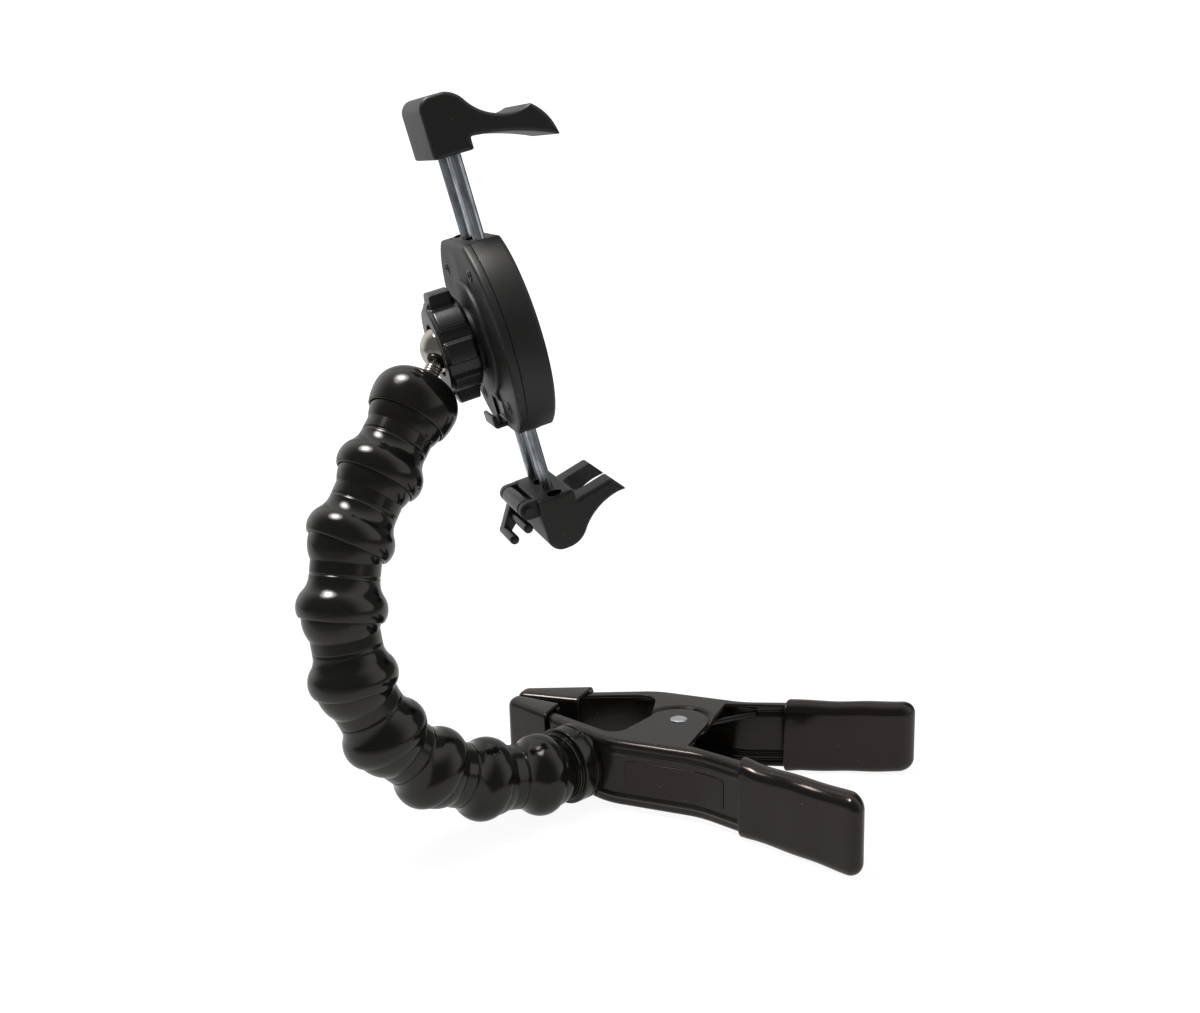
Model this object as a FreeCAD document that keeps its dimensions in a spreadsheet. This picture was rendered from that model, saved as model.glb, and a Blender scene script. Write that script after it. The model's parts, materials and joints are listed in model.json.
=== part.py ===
"""Clamp phone mount: a sprung clamp, a ball-and-socket hose and a holder with two sliding arms.

Frame: origin on the table under the middle of the whole, X along the clamp from the jaws to the
handles, Z up. The clamp lies on its side, its front arm towards -Y, and is modelled about its
rivet. The holder is modelled about its ball: x across the arms, y along the rods, z towards
the held device.
"""
import FreeCAD
import Part
import Sketcher
import math
import os

from FreeCAD import Placement, Rotation, Vector

DRIVING_SIZES = [
    # Clamp arms, in plan
    ("jaw_reach", 66.0, "rivet to the steel jaw tip"),
    ("handle_reach", 77.0, "rivet to the steel handle end"),
    ("jaw_half", 6.4, "clamp axis to the web at the jaw tip"),
    ("belly_half", 26.3, "clamp axis to the web beside the rivet"),
    ("handle_half", 46.3, "clamp axis to the web at the handle end"),
    ("jaw_bend", 18.0, "rivet to the bend towards the jaws"),
    ("handle_bend", 17.0, "rivet to the bend towards the handles"),
    ("bend_radius", 26.0, "outer radius of both bends"),
    ("jaw_flange", 4.6, "flange width at the jaw"),
    ("strip_flange", 5.6, "flange width beside the ear"),
    ("handle_flange", 7.0, "flange width at the handle"),
    ("ear_radius", 11.0, "ear round the rivet"),
    ("ear_gap", 1.2, "room round the other arm's ear"),
    ("ear_foot", 5.5, "how far the ear's foot runs towards the jaw"),
    ("foot_radius", 6.0, "hollow at the ear's foot"),
    # Clamp arms, in section
    ("steel", 1.4, "sheet thickness"),
    ("arm_height", 25.0, "height of the front arm's channel"),
    ("nest_gap", 0.3, "room between the nested flanges"),
    ("shoulder", 2.4, "rolled edge between web and flanges"),
    ("bead_rise", 0.7, "how far a bead stands out of the web"),
    ("bead_width", 2.2, "height of a bead"),
    ("bead_inset", 4.0, "channel edge to the middle of a bead"),
    ("skin", 1.6, "dipped plastic under and over the front arm"),
    ("grip_start", 33.0, "rivet to the start of the handle grips"),
    ("grip_end_radius", 4.0, "plan corner of a grip's end"),
    ("grip_round", 3.0, "long edges of a grip"),
    ("front_pad_length", 19.0, "steel tip to the end of the front jaw pad, along the clamp"),
    ("back_pad_length", 24.0, "steel tip to the end of the back jaw pad, along the clamp"),
    ("pad_round", 1.6, "edges of a jaw pad"),
    ("jaw_gap", 0.4, "between the closed jaw pads"),
    # Rivet and spring
    ("rivet_radius", 2.5, "rivet shank"),
    ("rivet_fit", 0.08, "shank to the ears' holes"),
    ("head_radius", 3.4, "rivet head"),
    ("head_rise", 0.8, "rivet head above the ear"),
    ("wire_radius", 1.1, "spring wire"),
    ("coil_radius", 5.4, "coil, to the middle of the wire"),
    ("coil_pitch", 2.35, "rise of one turn"),
    ("coil_turns", 5.0, "whole turns besides the turn between the legs"),
    ("leg_angle", 39.0, "spring leg from the clamp axis"),
    ("leg_length", 33.0, "straight leg of the spring"),
    # Hose
    ("seat_inset", 33.5, "jaw tip to the hose base, along the clamp"),
    ("base_length", 16.0, "web to the base's ball centre"),
    ("collar_radius", 14.0, "collar on the clamp arm"),
    ("collar_length", 7.8, "collar"),
    ("ring_radius", 12.4, "stepped ring in front of the collar"),
    ("ring_length", 1.6, "stepped ring"),
    ("link_pitch", 23.0, "socket centre to ball centre of a link"),
    ("link_radius", 14.6, "widest ring of a link"),
    ("rim_radius", 13.5, "socket rim, outside"),
    ("rim_depth", 1.3, "socket rim below the socket centre"),
    ("widest_height", 2.4, "widest ring above the socket centre"),
    ("shoulder_height", 12.0, "top of the shoulder above the socket centre"),
    ("neck_radius", 11.3, "neck between shoulder and ball"),
    ("hose_ball", 12.7, "ball of a link"),
    ("socket_gap", 0.25, "ball to socket"),
    ("ball_top", 5.0, "cut-off top of a ball above its centre"),
    ("hose_bore", 6.4, "bore through the links"),
    ("cap_top", 14.8, "flat top of the end cap above its socket centre"),
    ("cap_hollow", 9.8, "flat top of the end cap's socket"),
    ("cap_widest", 5.5, "widest ring of the end cap above its socket centre"),
    ("cap_flat", 7.0, "flat top of the end cap"),
    ("bolt_radius", 2.5, "bolt through the front arm into the base"),
    ("bolt_head", 5.0, "bolt head"),
    ("bolt_head_length", 2.6, "bolt head"),
    ("bolt_grip", 9.0, "bolt in the base"),
    # Ball, seat and ring knob
    ("stud_length", 27.4, "end cap's socket centre to the stud's ball centre"),
    ("stud_ball", 8.0, "ball of the stud"),
    ("stud_neck", 2.9, "neck and shank of the stud"),
    ("stud_grip", 3.2, "shank in the end cap"),
    ("ball_gap", 0.1, "stud ball to its seat"),
    ("seat_radius", 11.0, "seat, outside"),
    ("seat_fit", 0.06, "seat to the back cover"),
    ("seat_lip", 1.4, "seat past the ball's middle"),
    ("knob_fit", 0.3, "seat to the ring knob"),
    ("knob_radius", 14.6, "ring knob between its pads"),
    ("knob_height", 11.6, "ring knob"),
    ("knob_mouth", 9.0, "opening of the ring knob"),
    ("knob_lip", 1.2, "lip of the ring knob over the seat"),
    ("pad_rise", 1.5, "grip pads of the knob"),
    ("pad_width", 6.6, "grip pads of the knob"),
    ("pad_inset", 1.2, "grip pads from the knob's faces"),
    ("lug_rise", 4.6, "lugs of the knob"),
    ("lug_width", 9.0, "lugs of the knob"),
    ("lug_height", 8.0, "lugs of the knob, along the axis"),
    # Housing
    ("case_radius", 36.0, "round sides of the housing"),
    ("case_half", 32.0, "ball axis to the flat ends"),
    ("case_back", 12.0, "ball centre to the housing's back"),
    ("cover_depth", 3.2, "back cover"),
    ("case_depth", 13.6, "whole housing"),
    ("case_round", 1.4, "outer edges of the housing"),
    ("boss_radius", 20.0, "raised boss on the back"),
    ("boss_rise", 1.6, "raised boss on the back"),
    ("screw_across", 17.5, "screws from the middle, across"),
    ("screw_along", 22.5, "screws from the middle, along the rods"),
    ("screw_head", 2.6, "screw head"),
    ("screw_head_depth", 1.4, "screw head"),
    ("screw_shank", 1.3, "screw shank"),
    ("screw_length", 4.6, "screw, head and shank"),
    ("screw_sunk", 0.3, "screw head below the back"),
    # Arms and rods
    ("rod_radius", 2.0, "rods"),
    ("rod_fit", 0.08, "rods to their bores"),
    ("rod_step", 9.0, "between neighbouring rods"),
    ("rod_level", 19.2, "ball centre to the rods' plane"),
    ("rod_grip", 12.0, "rod in its own arm"),
    ("rod_run", 81.0, "rod below its own arm"),
    ("pocket_gap", 0.5, "rod to the other arm's pockets"),
    ("arm_width", 33.0, "width of both arms"),
    ("block_depth", 13.4, "depth of both arms' blocks"),
    ("upper_gap", 27.0, "housing to the upper arm"),
    ("upper_height", 19.0, "block of the upper arm"),
    ("hook_reach", 28.0, "hook beyond its block"),
    ("hook_drop", 3.0, "hook tip below its block's underside"),
    ("hook_rise", 4.0, "root of the hook above its block's underside"),
    ("lower_gap", 24.5, "housing to the lower arm"),
    ("lower_height", 19.6, "block of the lower arm"),
    ("finger_reach", 18.0, "fingers beyond their block"),
    ("finger_width", 8.0, "each finger"),
    # Release lever and clip
    ("slot_width", 14.0, "slot in the back cover"),
    ("slot_low", 31.0, "slot's lower end from the ball axis"),
    ("slot_high", 22.0, "slot's upper end from the ball axis"),
    ("lever_gap", 0.35, "lever to its slot"),
    ("lever_pin", 0.8, "lever pin"),
    ("lever_reach", 4.6, "lever's hook out of the back"),
    ("pin_fit", 0.06, "pins to their bores"),
    ("clip_pin", 1.6, "clip pin"),
    ("clip_out", 3.4, "clip pin from the lower arm's back"),
    ("clip_down", 2.8, "clip pin below the lower arm's top"),
    ("clip_eye", 3.0, "clip's barrel"),
    ("clip_width", 22.0, "clip between its ears"),
    ("ear_width", 4.0, "ears that hold the clip's pin"),
    ("plate_width", 5.0, "clip's plate, along the pin"),
    ("prong_radius", 1.7, "clip's prongs"),
    ("near_prong", 24.0, "clip's prong beside the arm"),
    ("far_prong", 17.0, "clip's outer prong"),
]

# The pose of the hose, chosen by hand: compass angle from +X and rise of each link, base first
LINK_POSE = [(-122, 10), (-118, 25), (-120, 44), (-129, 64.4), (-172.6, 82.7), (91, 74), (70, 56), (73, 51)]
CAP_POSE = (74, 49)
# The holder faces this compass angle and rise, turned a little about that direction
HOLDER_COMPASS = 41.2
HOLDER_RISE = 14.8
HOLDER_ROLL = 1.9

doc = FreeCAD.newDocument("ClampMount")
sheet = doc.addObject("Spreadsheet::Sheet", "size")
pieces = []


def fill_sheet():
    """One row for each driving size: name, plain number, meaning."""
    for row, (alias, value, meaning) in enumerate(DRIVING_SIZES, start=1):
        sheet.set("A%d" % row, alias)
        sheet.set("B%d" % row, str(value))
        sheet.set("C%d" % row, meaning)
        sheet.setAlias("B%d" % row, alias)
    doc.recompute()


def number(text):
    """The value of an expression on the sheet, such as size.steel * 2."""
    value = sheet.evalExpression(text)
    return float(getattr(value, "Value", value))


def val(alias):
    return float(sheet.get(alias))


def direction(compass, rise):
    """Unit vector from a compass angle about Z and a rise above the table, in degrees."""
    a = math.radians(compass)
    b = math.radians(rise)
    return Vector(math.cos(b) * math.cos(a), math.cos(b) * math.sin(a), math.sin(b))


# Sketch and feature helpers

def new_body(label):
    body = doc.addObject("PartDesign::Body", label)
    body.Label = label
    pieces.append(body)
    return body


def new_sketch(body, role, level=None):
    """A sketch on one of the body's own planes, moved along its normal by an expression."""
    sketch = body.newObject("Sketcher::SketchObject", body.Name + "_sketch")
    plane = [item for item in body.Origin.OriginFeatures if item.Role == role][0]
    sketch.AttachmentSupport = [(plane, "")]
    sketch.MapMode = "FlatFace"
    if level is not None:
        sketch.setExpression(".AttachmentOffset.Base.z", level)
    doc.recompute()
    return sketch


def fix(sketch, geo, end, x, y):
    """Hold a point of the sketch at two expressions."""
    for kind, text in (("DistanceX", x), ("DistanceY", y)):
        index = sketch.addConstraint(Sketcher.Constraint(kind, -1, 1, geo, end, number(text)))
        sketch.setExpression("Constraints[%d]" % index, text)


def bind_radius(sketch, geo, text):
    index = sketch.addConstraint(Sketcher.Constraint("Radius", geo, number(text)))
    sketch.setExpression("Constraints[%d]" % index, text)


def circle(sketch, x, y, radius):
    middle = Vector(number(x), number(y), 0)
    geo = sketch.addGeometry(Part.Circle(middle, Vector(0, 0, 1), number(radius)), False)
    fix(sketch, geo, 3, x, y)
    bind_radius(sketch, geo, radius)


def bow(centre, radius, a, b, leftward):
    """Arc from a to b about a centre, and which of its ends lie at a and at b.

    Sketch arcs run anticlockwise, so an arc that turns rightward is drawn from b to a.
    """
    first, last = (a, b) if leftward else (b, a)
    from_angle = math.atan2(first.y - centre.y, first.x - centre.x)
    to_angle = math.atan2(last.y - centre.y, last.x - centre.x)
    if to_angle <= from_angle:
        to_angle += 2 * math.pi
    arc = Part.ArcOfCircle(Part.Circle(centre, Vector(0, 0, 1), radius), from_angle, to_angle)
    return arc, ((1, 2) if leftward else (2, 1))


def outline(sketch, steps):
    """A closed outline. A step (x, y) is a corner, (x, y, r) a corner rounded by r,
    and (x, y, r, side) a corner reached by an arc of radius r bulging to the left (1) or right (-1)."""
    count = len(steps)
    corner = [Vector(number(s[0]), number(s[1]), 0) for s in steps]
    rounded = [number(s[2]) if len(s) == 3 else 0.0 for s in steps]
    start = list(corner)
    end = list(corner)
    for i in range(count):
        if rounded[i]:
            back = (corner[i - 1] - corner[i]).normalize()
            ahead = (corner[(i + 1) % count] - corner[i]).normalize()
            reach = rounded[i] / math.tan(back.getAngle(ahead) / 2)
            end[i] = corner[i] + back * reach
            start[i] = corner[i] + ahead * reach
    # The span that ends at corner i starts at corner i - 1
    spans = []
    for i in range(count):
        a = start[i - 1]
        b = end[i]
        ends = (1, 2)
        shape = Part.LineSegment(a, b)
        if len(steps[i]) == 4:
            radius = number(steps[i][2])
            side = steps[i][3]
            chord = b - a
            depth = math.sqrt(max(radius ** 2 - (chord.Length / 2) ** 2, 0.0))
            centre = (a + b) * 0.5 - Vector(-chord.y, chord.x, 0).normalize() * depth * side
            shape, ends = bow(centre, radius, a, b, side < 0)
        spans.append((sketch.addGeometry(shape, False), ends))
    for i in range(count):
        here, (_, here_end) = spans[i]
        after, (after_start, _) = spans[(i + 1) % count]
        if rounded[i]:
            back = (end[i] - corner[i]).normalize()
            ahead = (start[i] - corner[i]).normalize()
            half = back.getAngle(ahead) / 2
            centre = corner[i] + (back + ahead).normalize() * (rounded[i] / math.sin(half))
            leftward = back.cross(ahead).z < 0
            shape, (first, last) = bow(centre, rounded[i], end[i], start[i], leftward)
            arc = sketch.addGeometry(shape, False)
            sketch.addConstraint(Sketcher.Constraint("Tangent", here, here_end, arc, first))
            sketch.addConstraint(Sketcher.Constraint("Tangent", arc, last, after, after_start))
            bind_radius(sketch, arc, steps[i][2])
            mark = sketch.addGeometry(Part.Point(corner[i]), True)
            fix(sketch, mark, 1, steps[i][0], steps[i][1])
            sketch.addConstraint(Sketcher.Constraint("PointOnObject", mark, 1, here))
            sketch.addConstraint(Sketcher.Constraint("PointOnObject", mark, 1, after))
        else:
            sketch.addConstraint(Sketcher.Constraint("Coincident", here, here_end, after, after_start))
            fix(sketch, here, here_end, steps[i][0], steps[i][1])
    for i in range(count):
        if len(steps[i]) == 4:
            bind_radius(sketch, spans[i][0], steps[i][2])


def finish_feature(body, feature, sketch):
    feature.Profile = sketch
    sketch.Visibility = False
    body.Tip = feature
    doc.recompute()
    return feature


def pad(body, sketch, length, symmetric=False, reverse=False):
    feature = body.newObject("PartDesign::Pad", body.Name + "_pad")
    feature.Reversed = reverse
    if symmetric:
        feature.SideType = "Symmetric"
    feature.setExpression("Length", length)
    return finish_feature(body, feature, sketch)


def pocket(body, sketch, length=None, symmetric=False, reverse=False):
    """Cut the sketch out of the body, through all of it when no length is given."""
    before = body.Shape.Volume
    feature = body.newObject("PartDesign::Pocket", body.Name + "_pocket")
    feature.Reversed = reverse
    if symmetric:
        feature.SideType = "Symmetric"
    if length is None:
        feature.Type = "ThroughAll"
    else:
        feature.setExpression("Length", length)
    finish_feature(body, feature, sketch)
    if not body.Shape.Volume < before - 1e-6:
        raise RuntimeError("%s: a pocket cuts nothing" % body.Label)
    return feature


def revolve(body, sketch):
    feature = body.newObject("PartDesign::Revolution", body.Name + "_turned")
    feature.ReferenceAxis = (sketch, ["V_Axis"])
    feature.Angle = 360.0
    return finish_feature(body, feature, sketch)


def polar(body, features, count):
    """Repeat features about the body's Z axis."""
    pattern = body.newObject("PartDesign::PolarPattern", body.Name + "_polar")
    pattern.Originals = features
    axis = [item for item in body.Origin.OriginFeatures if item.Role == "Z_Axis"][0]
    pattern.Axis = (axis, [""])
    pattern.Angle = 360.0
    pattern.Occurrences = count
    body.Tip = pattern
    doc.recompute()
    return pattern


def round_edges(body, pick, radius):
    """Fillet the edges of the body's last feature that pick(edge) accepts."""
    base = body.Tip
    names = ["Edge%d" % (i + 1) for i, edge in enumerate(base.Shape.Edges) if pick(edge)]
    if not names:
        raise RuntimeError("%s: no edge to round" % body.Label)
    feature = body.newObject("PartDesign::Fillet", body.Name + "_round")
    feature.Base = (base, names)
    feature.setExpression("Radius", radius)
    body.Tip = feature
    doc.recompute()
    return feature


def middle_of(edge):
    first, last = edge.ParameterRange
    return edge.valueAt((first + last) / 2)


# Clamp

def web_at(reach):
    """Expression for the web's distance from the clamp axis at a reach towards the jaw."""
    slope = "(size.belly_half - size.jaw_half) / (size.jaw_reach - size.jaw_bend)"
    return "size.jaw_half + (size.jaw_reach - %s) * %s" % (reach, slope)


def handle_at(reach):
    """Expression for the web's distance from the clamp axis at a reach towards the handle."""
    slope = "(size.handle_half - size.belly_half) / (size.handle_reach - size.handle_bend)"
    return "size.handle_half - (size.handle_reach - %s) * %s" % (reach, slope)


def signed(side, text):
    return text if side > 0 else "-(%s)" % text


ARM_LEVEL = "size.skin"
ARM_HEIGHT = "size.arm_height"
SEAT_REACH = "(size.jaw_reach - size.seat_inset)"


def clamp_arm(label, side):
    """A stamped channel: web outside, flanges that widen to round ears at the rivet."""
    body = new_body(label)
    sketch = new_sketch(body, "XY_Plane", ARM_LEVEL)
    outline(sketch, [
        ("-size.jaw_reach", signed(side, "size.jaw_half")),
        ("-size.jaw_bend", signed(side, "size.belly_half"), "size.bend_radius"),
        ("size.handle_bend", signed(side, "size.belly_half"), "size.bend_radius"),
        ("size.handle_reach", signed(side, "size.handle_half")),
        ("size.handle_reach", signed(side, "size.handle_half - size.handle_flange")),
        ("size.ear_radius", signed(side, "size.belly_half - size.strip_flange")),
        ("size.ear_radius", "0"),
        ("-size.ear_radius", "0", "size.ear_radius * 1.0001", side),
        ("-size.ear_radius - size.ear_foot", signed(side, "size.belly_half - size.strip_flange"),
         "size.foot_radius"),
        ("-size.jaw_reach", signed(side, "size.jaw_half - size.jaw_flange")),
    ])
    pad(body, sketch, ARM_HEIGHT)
    top = number(ARM_LEVEL + " + " + ARM_HEIGHT)
    bottom = number(ARM_LEVEL)

    def on_web(edge):
        point = middle_of(edge)
        flat = abs(point.z - top) < 0.01 or abs(point.z - bottom) < 0.01
        if point.x < 0:
            web = min(number(web_at("%r" % -point.x)), val("belly_half"))
        else:
            web = max(number(handle_at("%r" % point.x)), val("belly_half"))
        along = abs(edge.Vertexes[0].Point.x - edge.Vertexes[-1].Point.x) > 1.0
        return flat and along and abs(abs(point.y) - web) < 2.0 and point.y * side > 0
    round_edges(body, on_web, "size.shoulder")
    # The channel's hollow, open towards the other arm
    hollow = new_sketch(body, "XY_Plane", ARM_LEVEL + " + size.steel")
    past = "size.ear_radius * 2"
    outline(hollow, [
        ("-size.jaw_reach * 1.1", signed(side, "size.jaw_half - size.steel - size.jaw_reach * 0.1 * "
         "(size.belly_half - size.jaw_half) / (size.jaw_reach - size.jaw_bend)")),
        ("-size.jaw_bend", signed(side, "size.belly_half - size.steel"), "size.bend_radius - size.steel"),
        ("size.handle_bend", signed(side, "size.belly_half - size.steel"),
         "size.bend_radius - size.steel"),
        ("size.handle_reach * 1.1", signed(side, "size.handle_half - size.steel + size.handle_reach * 0.1"
         " * (size.handle_half - size.belly_half) / (size.handle_reach - size.handle_bend)")),
        ("size.handle_reach * 1.1", signed(-side, past)),
        ("-size.jaw_reach * 1.1", signed(-side, past)),
    ])
    pocket(body, hollow, ARM_HEIGHT + " - 2 * size.steel", reverse=True)
    if side > 0:
        step_ears(body)
    hole = new_sketch(body, "XY_Plane")
    circle(hole, "0", "0", "size.rivet_radius + size.rivet_fit")
    pocket(body, hole, reverse=True)
    return body


EAR_STEP = "(size.steel + size.nest_gap)"
STEP_INSIDE = "(size.ear_radius + size.ear_gap)"
STEP_OUTSIDE = "(size.ear_radius + size.ear_gap + size.steel)"
FOOT_RISE = "(size.belly_half - size.strip_flange)"
FOOT_LENGTH = "sqrt(size.ear_foot ^ 2 + %s ^ 2)" % FOOT_RISE


def foot_point(radius):
    """Where the ear's straight foot crosses a circle round the rivet: ear + t * unit, solved for t."""
    half = "(size.ear_radius * size.ear_foot / %s)" % FOOT_LENGTH
    reach = "(sqrt(%s ^ 2 + %s ^ 2 - size.ear_radius ^ 2) - %s)" % (half, radius, half)
    return ("-(size.ear_radius + %s * size.ear_foot / %s)" % (reach, FOOT_LENGTH),
            "%s * %s / %s" % (reach, FOOT_RISE, FOOT_LENGTH))


def side_point(radius):
    """Where the ear's straight side crosses a circle round the rivet."""
    return "size.ear_radius", "sqrt(%s ^ 2 - size.ear_radius ^ 2)" % radius


def step_ears(body):
    """The back arm's ears are pressed inwards by a sheet, to lie inside the front arm's ears."""
    top = "size.skin + size.arm_height"
    for low in (top + " - " + EAR_STEP, "size.skin"):
        cut = new_sketch(body, "XY_Plane", low)
        circle(cut, "0", "0", STEP_INSIDE)
        pocket(body, cut, EAR_STEP, reverse=True)
    for low in (top + " - %s - size.steel" % EAR_STEP, "size.skin + size.steel / 2"):
        wall = new_sketch(body, "XY_Plane", low)
        outline(wall, [
            side_point(STEP_OUTSIDE) + (STEP_OUTSIDE, 1),
            side_point(STEP_INSIDE),
            foot_point(STEP_INSIDE) + (STEP_INSIDE, -1),
            foot_point(STEP_OUTSIDE),
        ])
        pad(body, wall, EAR_STEP + " + size.steel / 2")
    for low in (top + " - %s - size.steel" % EAR_STEP, "size.skin + " + EAR_STEP):
        ear = new_sketch(body, "XY_Plane", low)
        outline(ear, [
            side_point(STEP_OUTSIDE) + (STEP_OUTSIDE, 1),
            ("size.ear_radius", "0"),
            ("-size.ear_radius", "0", "size.ear_radius * 1.0001", 1),
            foot_point(STEP_OUTSIDE),
        ])
        pad(body, ear, "size.steel")


def bolt_hole(body):
    """Hole in the front arm's web for the hose base's bolt, square to the web."""
    sketch = new_sketch(body, "XZ_Plane")
    sketch.AttachmentOffset = Placement(Vector(), Rotation(Vector(0, 1, 0), 1))
    sketch.setExpression(".AttachmentOffset.Base.x", "-" + SEAT_REACH)
    sketch.setExpression(".AttachmentOffset.Base.y", "size.skin + size.arm_height / 2")
    sketch.setExpression(".AttachmentOffset.Base.z", web_at(SEAT_REACH))
    sketch.setExpression(".AttachmentOffset.Rotation.Angle",
                         "-atan((size.belly_half - size.jaw_half) / (size.jaw_reach - size.jaw_bend))")
    doc.recompute()
    circle(sketch, "0", "0", "size.bolt_radius")
    pocket(body, sketch, "size.steel * 4", symmetric=True)


def clamp_bead(body, side):
    """Long beads pressed into the web, one near each edge."""
    for level in ("size.bead_inset", "%s - size.bead_inset" % ARM_HEIGHT):
        sketch = new_sketch(body, "XY_Plane", "%s + %s - size.bead_width / 2" % (ARM_LEVEL, level))
        outline(sketch, [
            ("-size.jaw_bend + 8", signed(side, "size.belly_half - size.steel / 2")),
            ("-size.jaw_bend + 10", signed(side, "size.belly_half + size.bead_rise")),
            ("size.handle_bend - 6", signed(side, "size.belly_half + size.bead_rise")),
            ("size.handle_bend - 4", signed(side, "size.belly_half - size.steel / 2")),
        ])
        pad(body, sketch, "size.bead_width")


def grip(label, side):
    """A dipped sleeve over a handle, closed at the end."""
    body = new_body(label)
    sketch = new_sketch(body, "XY_Plane")
    start_web = handle_at("size.grip_start")
    end_reach = "(size.handle_reach + size.skin)"
    end_web = handle_at(end_reach)
    outline(sketch, [
        ("size.grip_start", signed(side, start_web + " + size.skin")),
        (end_reach, signed(side, end_web + " + size.skin"), "size.grip_end_radius"),
        (end_reach, signed(side, end_web + " - size.handle_flange - size.skin"), "size.grip_end_radius"),
        ("size.grip_start", signed(side, start_web + " - size.handle_flange - size.skin")),
    ])
    pad(body, sketch, "size.arm_height + 2 * size.skin")
    start = val("grip_start")
    round_edges(body, lambda edge: all(v.Point.x > start + 0.5 for v in edge.Vertexes)
                or abs(edge.Vertexes[0].Point.x - edge.Vertexes[-1].Point.x) > 5, "size.grip_round")
    hollow = new_sketch(body, "XY_Plane", ARM_LEVEL)
    outline(hollow, [
        ("size.grip_start - size.skin", signed(side, handle_at("(size.grip_start - size.skin)"))),
        ("size.handle_reach", signed(side, "size.handle_half")),
        ("size.handle_reach", signed(side, "size.handle_half - size.handle_flange")),
        ("size.grip_start - size.skin",
         signed(side, handle_at("(size.grip_start - size.skin)") + " - size.handle_flange")),
    ])
    pocket(body, hollow, ARM_HEIGHT, reverse=True)
    return body


def jaw_pad(label, side):
    """A dipped sleeve over a jaw tip, flat where it meets the other jaw."""
    body = new_body(label)
    begin = "(size.jaw_reach - size.%s_pad_length)" % ("front" if side < 0 else "back")
    sketch = new_sketch(body, "XY_Plane")
    tip = "(size.jaw_reach + size.skin)"
    outline(sketch, [
        ("-" + begin, signed(side, web_at(begin) + " + size.skin")),
        ("-" + tip, signed(side, web_at(tip) + " + size.skin"), "size.pad_round * 2"),
        ("-" + tip, signed(side, "size.jaw_gap / 2")),
        ("-" + begin, signed(side, "size.jaw_gap / 2 + size.jaw_flange / 2")),
    ])
    pad(body, sketch, "size.arm_height + 2 * size.skin")
    start = -number(begin)
    gap = val("jaw_gap")
    round_edges(body, lambda edge: abs(middle_of(edge).y) > gap and middle_of(edge).x < start - 0.5,
                "size.pad_round")
    hollow = new_sketch(body, "XY_Plane", ARM_LEVEL)
    open_end = "(%s - size.skin)" % begin
    outline(hollow, [
        ("-" + open_end, signed(side, web_at(open_end))),
        ("-size.jaw_reach", signed(side, "size.jaw_half")),
        ("-size.jaw_reach", signed(side, "size.jaw_half - size.jaw_flange")),
        ("-" + open_end, signed(side, web_at(open_end) + " - size.jaw_flange - size.skin * 2")),
    ])
    pocket(body, hollow, ARM_HEIGHT, reverse=True)
    return body


def pivot_rivet():
    body = new_body("pivot_rivet")
    sketch = new_sketch(body, "XZ_Plane")
    low = "size.skin"
    high = "size.skin + size.arm_height"
    outline(sketch, [
        ("0", low + " - size.head_rise"),
        ("size.head_radius * 0.7", low + " - size.head_rise"),
        ("size.head_radius", low + " - size.head_rise * 0.4"),
        ("size.head_radius", low),
        ("size.rivet_radius", low),
        ("size.rivet_radius", high),
        ("size.head_radius", high),
        ("size.head_radius", high + " + size.head_rise * 0.4"),
        ("size.head_radius * 0.7", high + " + size.head_rise"),
        ("0", high + " + size.head_rise"),
    ])
    revolve(body, sketch)


def torsion_spring():
    """Wire coiled round the rivet, its two legs against the insides of the handles."""
    radius = val("coil_radius")
    pitch = val("coil_pitch")
    turns = val("coil_turns") + 0.5 - 2 * val("leg_angle") / 360
    rise = turns * pitch
    middle = val("skin") + val("arm_height") / 2
    helix = Part.makeHelix(pitch, rise, radius, 0, True)
    # The helix starts at +X, so it is turned to start where the front leg touches the coil
    helix.rotate(Vector(0, 0, 0), Vector(0, 0, 1), -90 - val("leg_angle"))
    helix.translate(Vector(0, 0, middle - rise / 2))
    coil = helix.Edges[0]
    first, last = coil.ParameterRange
    ring = Part.Wire(Part.makeCircle(val("wire_radius"), coil.valueAt(first), coil.tangentAt(first)))
    wire = Part.Wire([coil]).makePipeShell([ring], True, True)
    for end, run in ((first, -coil.tangentAt(first)), (last, coil.tangentAt(last))):
        leg = Part.makeCylinder(val("wire_radius"), val("leg_length"), coil.valueAt(end), run)
        wire = wire.fuse(leg)
    piece = doc.addObject("Part::Feature", "torsion_spring")
    piece.Shape = wire
    pieces.append(piece)


# Hose

def seat_frame():
    """Where the hose base sits on the front arm's web, and the way it points."""
    x = -number(SEAT_REACH)
    y = -number(web_at(SEAT_REACH))
    slope = math.atan2(val("belly_half") - val("jaw_half"), val("jaw_reach") - val("jaw_bend"))
    out = Vector(-math.sin(slope), -math.cos(slope), 0)
    return Vector(x, y, val("skin") + val("arm_height") / 2), out


def facing(origin, axis):
    return Placement(origin, Rotation(Vector(0, 0, 1), axis))


def hose_pivots():
    """Ball centres from the base to the holder, and the axis of each link and of the end cap."""
    seat, out = seat_frame()
    axes = [direction(*pose) for pose in LINK_POSE]
    points = [seat + out * val("base_length")]
    for axis in axes:
        points.append(points[-1] + axis * val("link_pitch"))
    axes.append(direction(*CAP_POSE))
    points.append(points[-1] + axes[-1] * val("stud_length"))
    return points, axes


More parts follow.
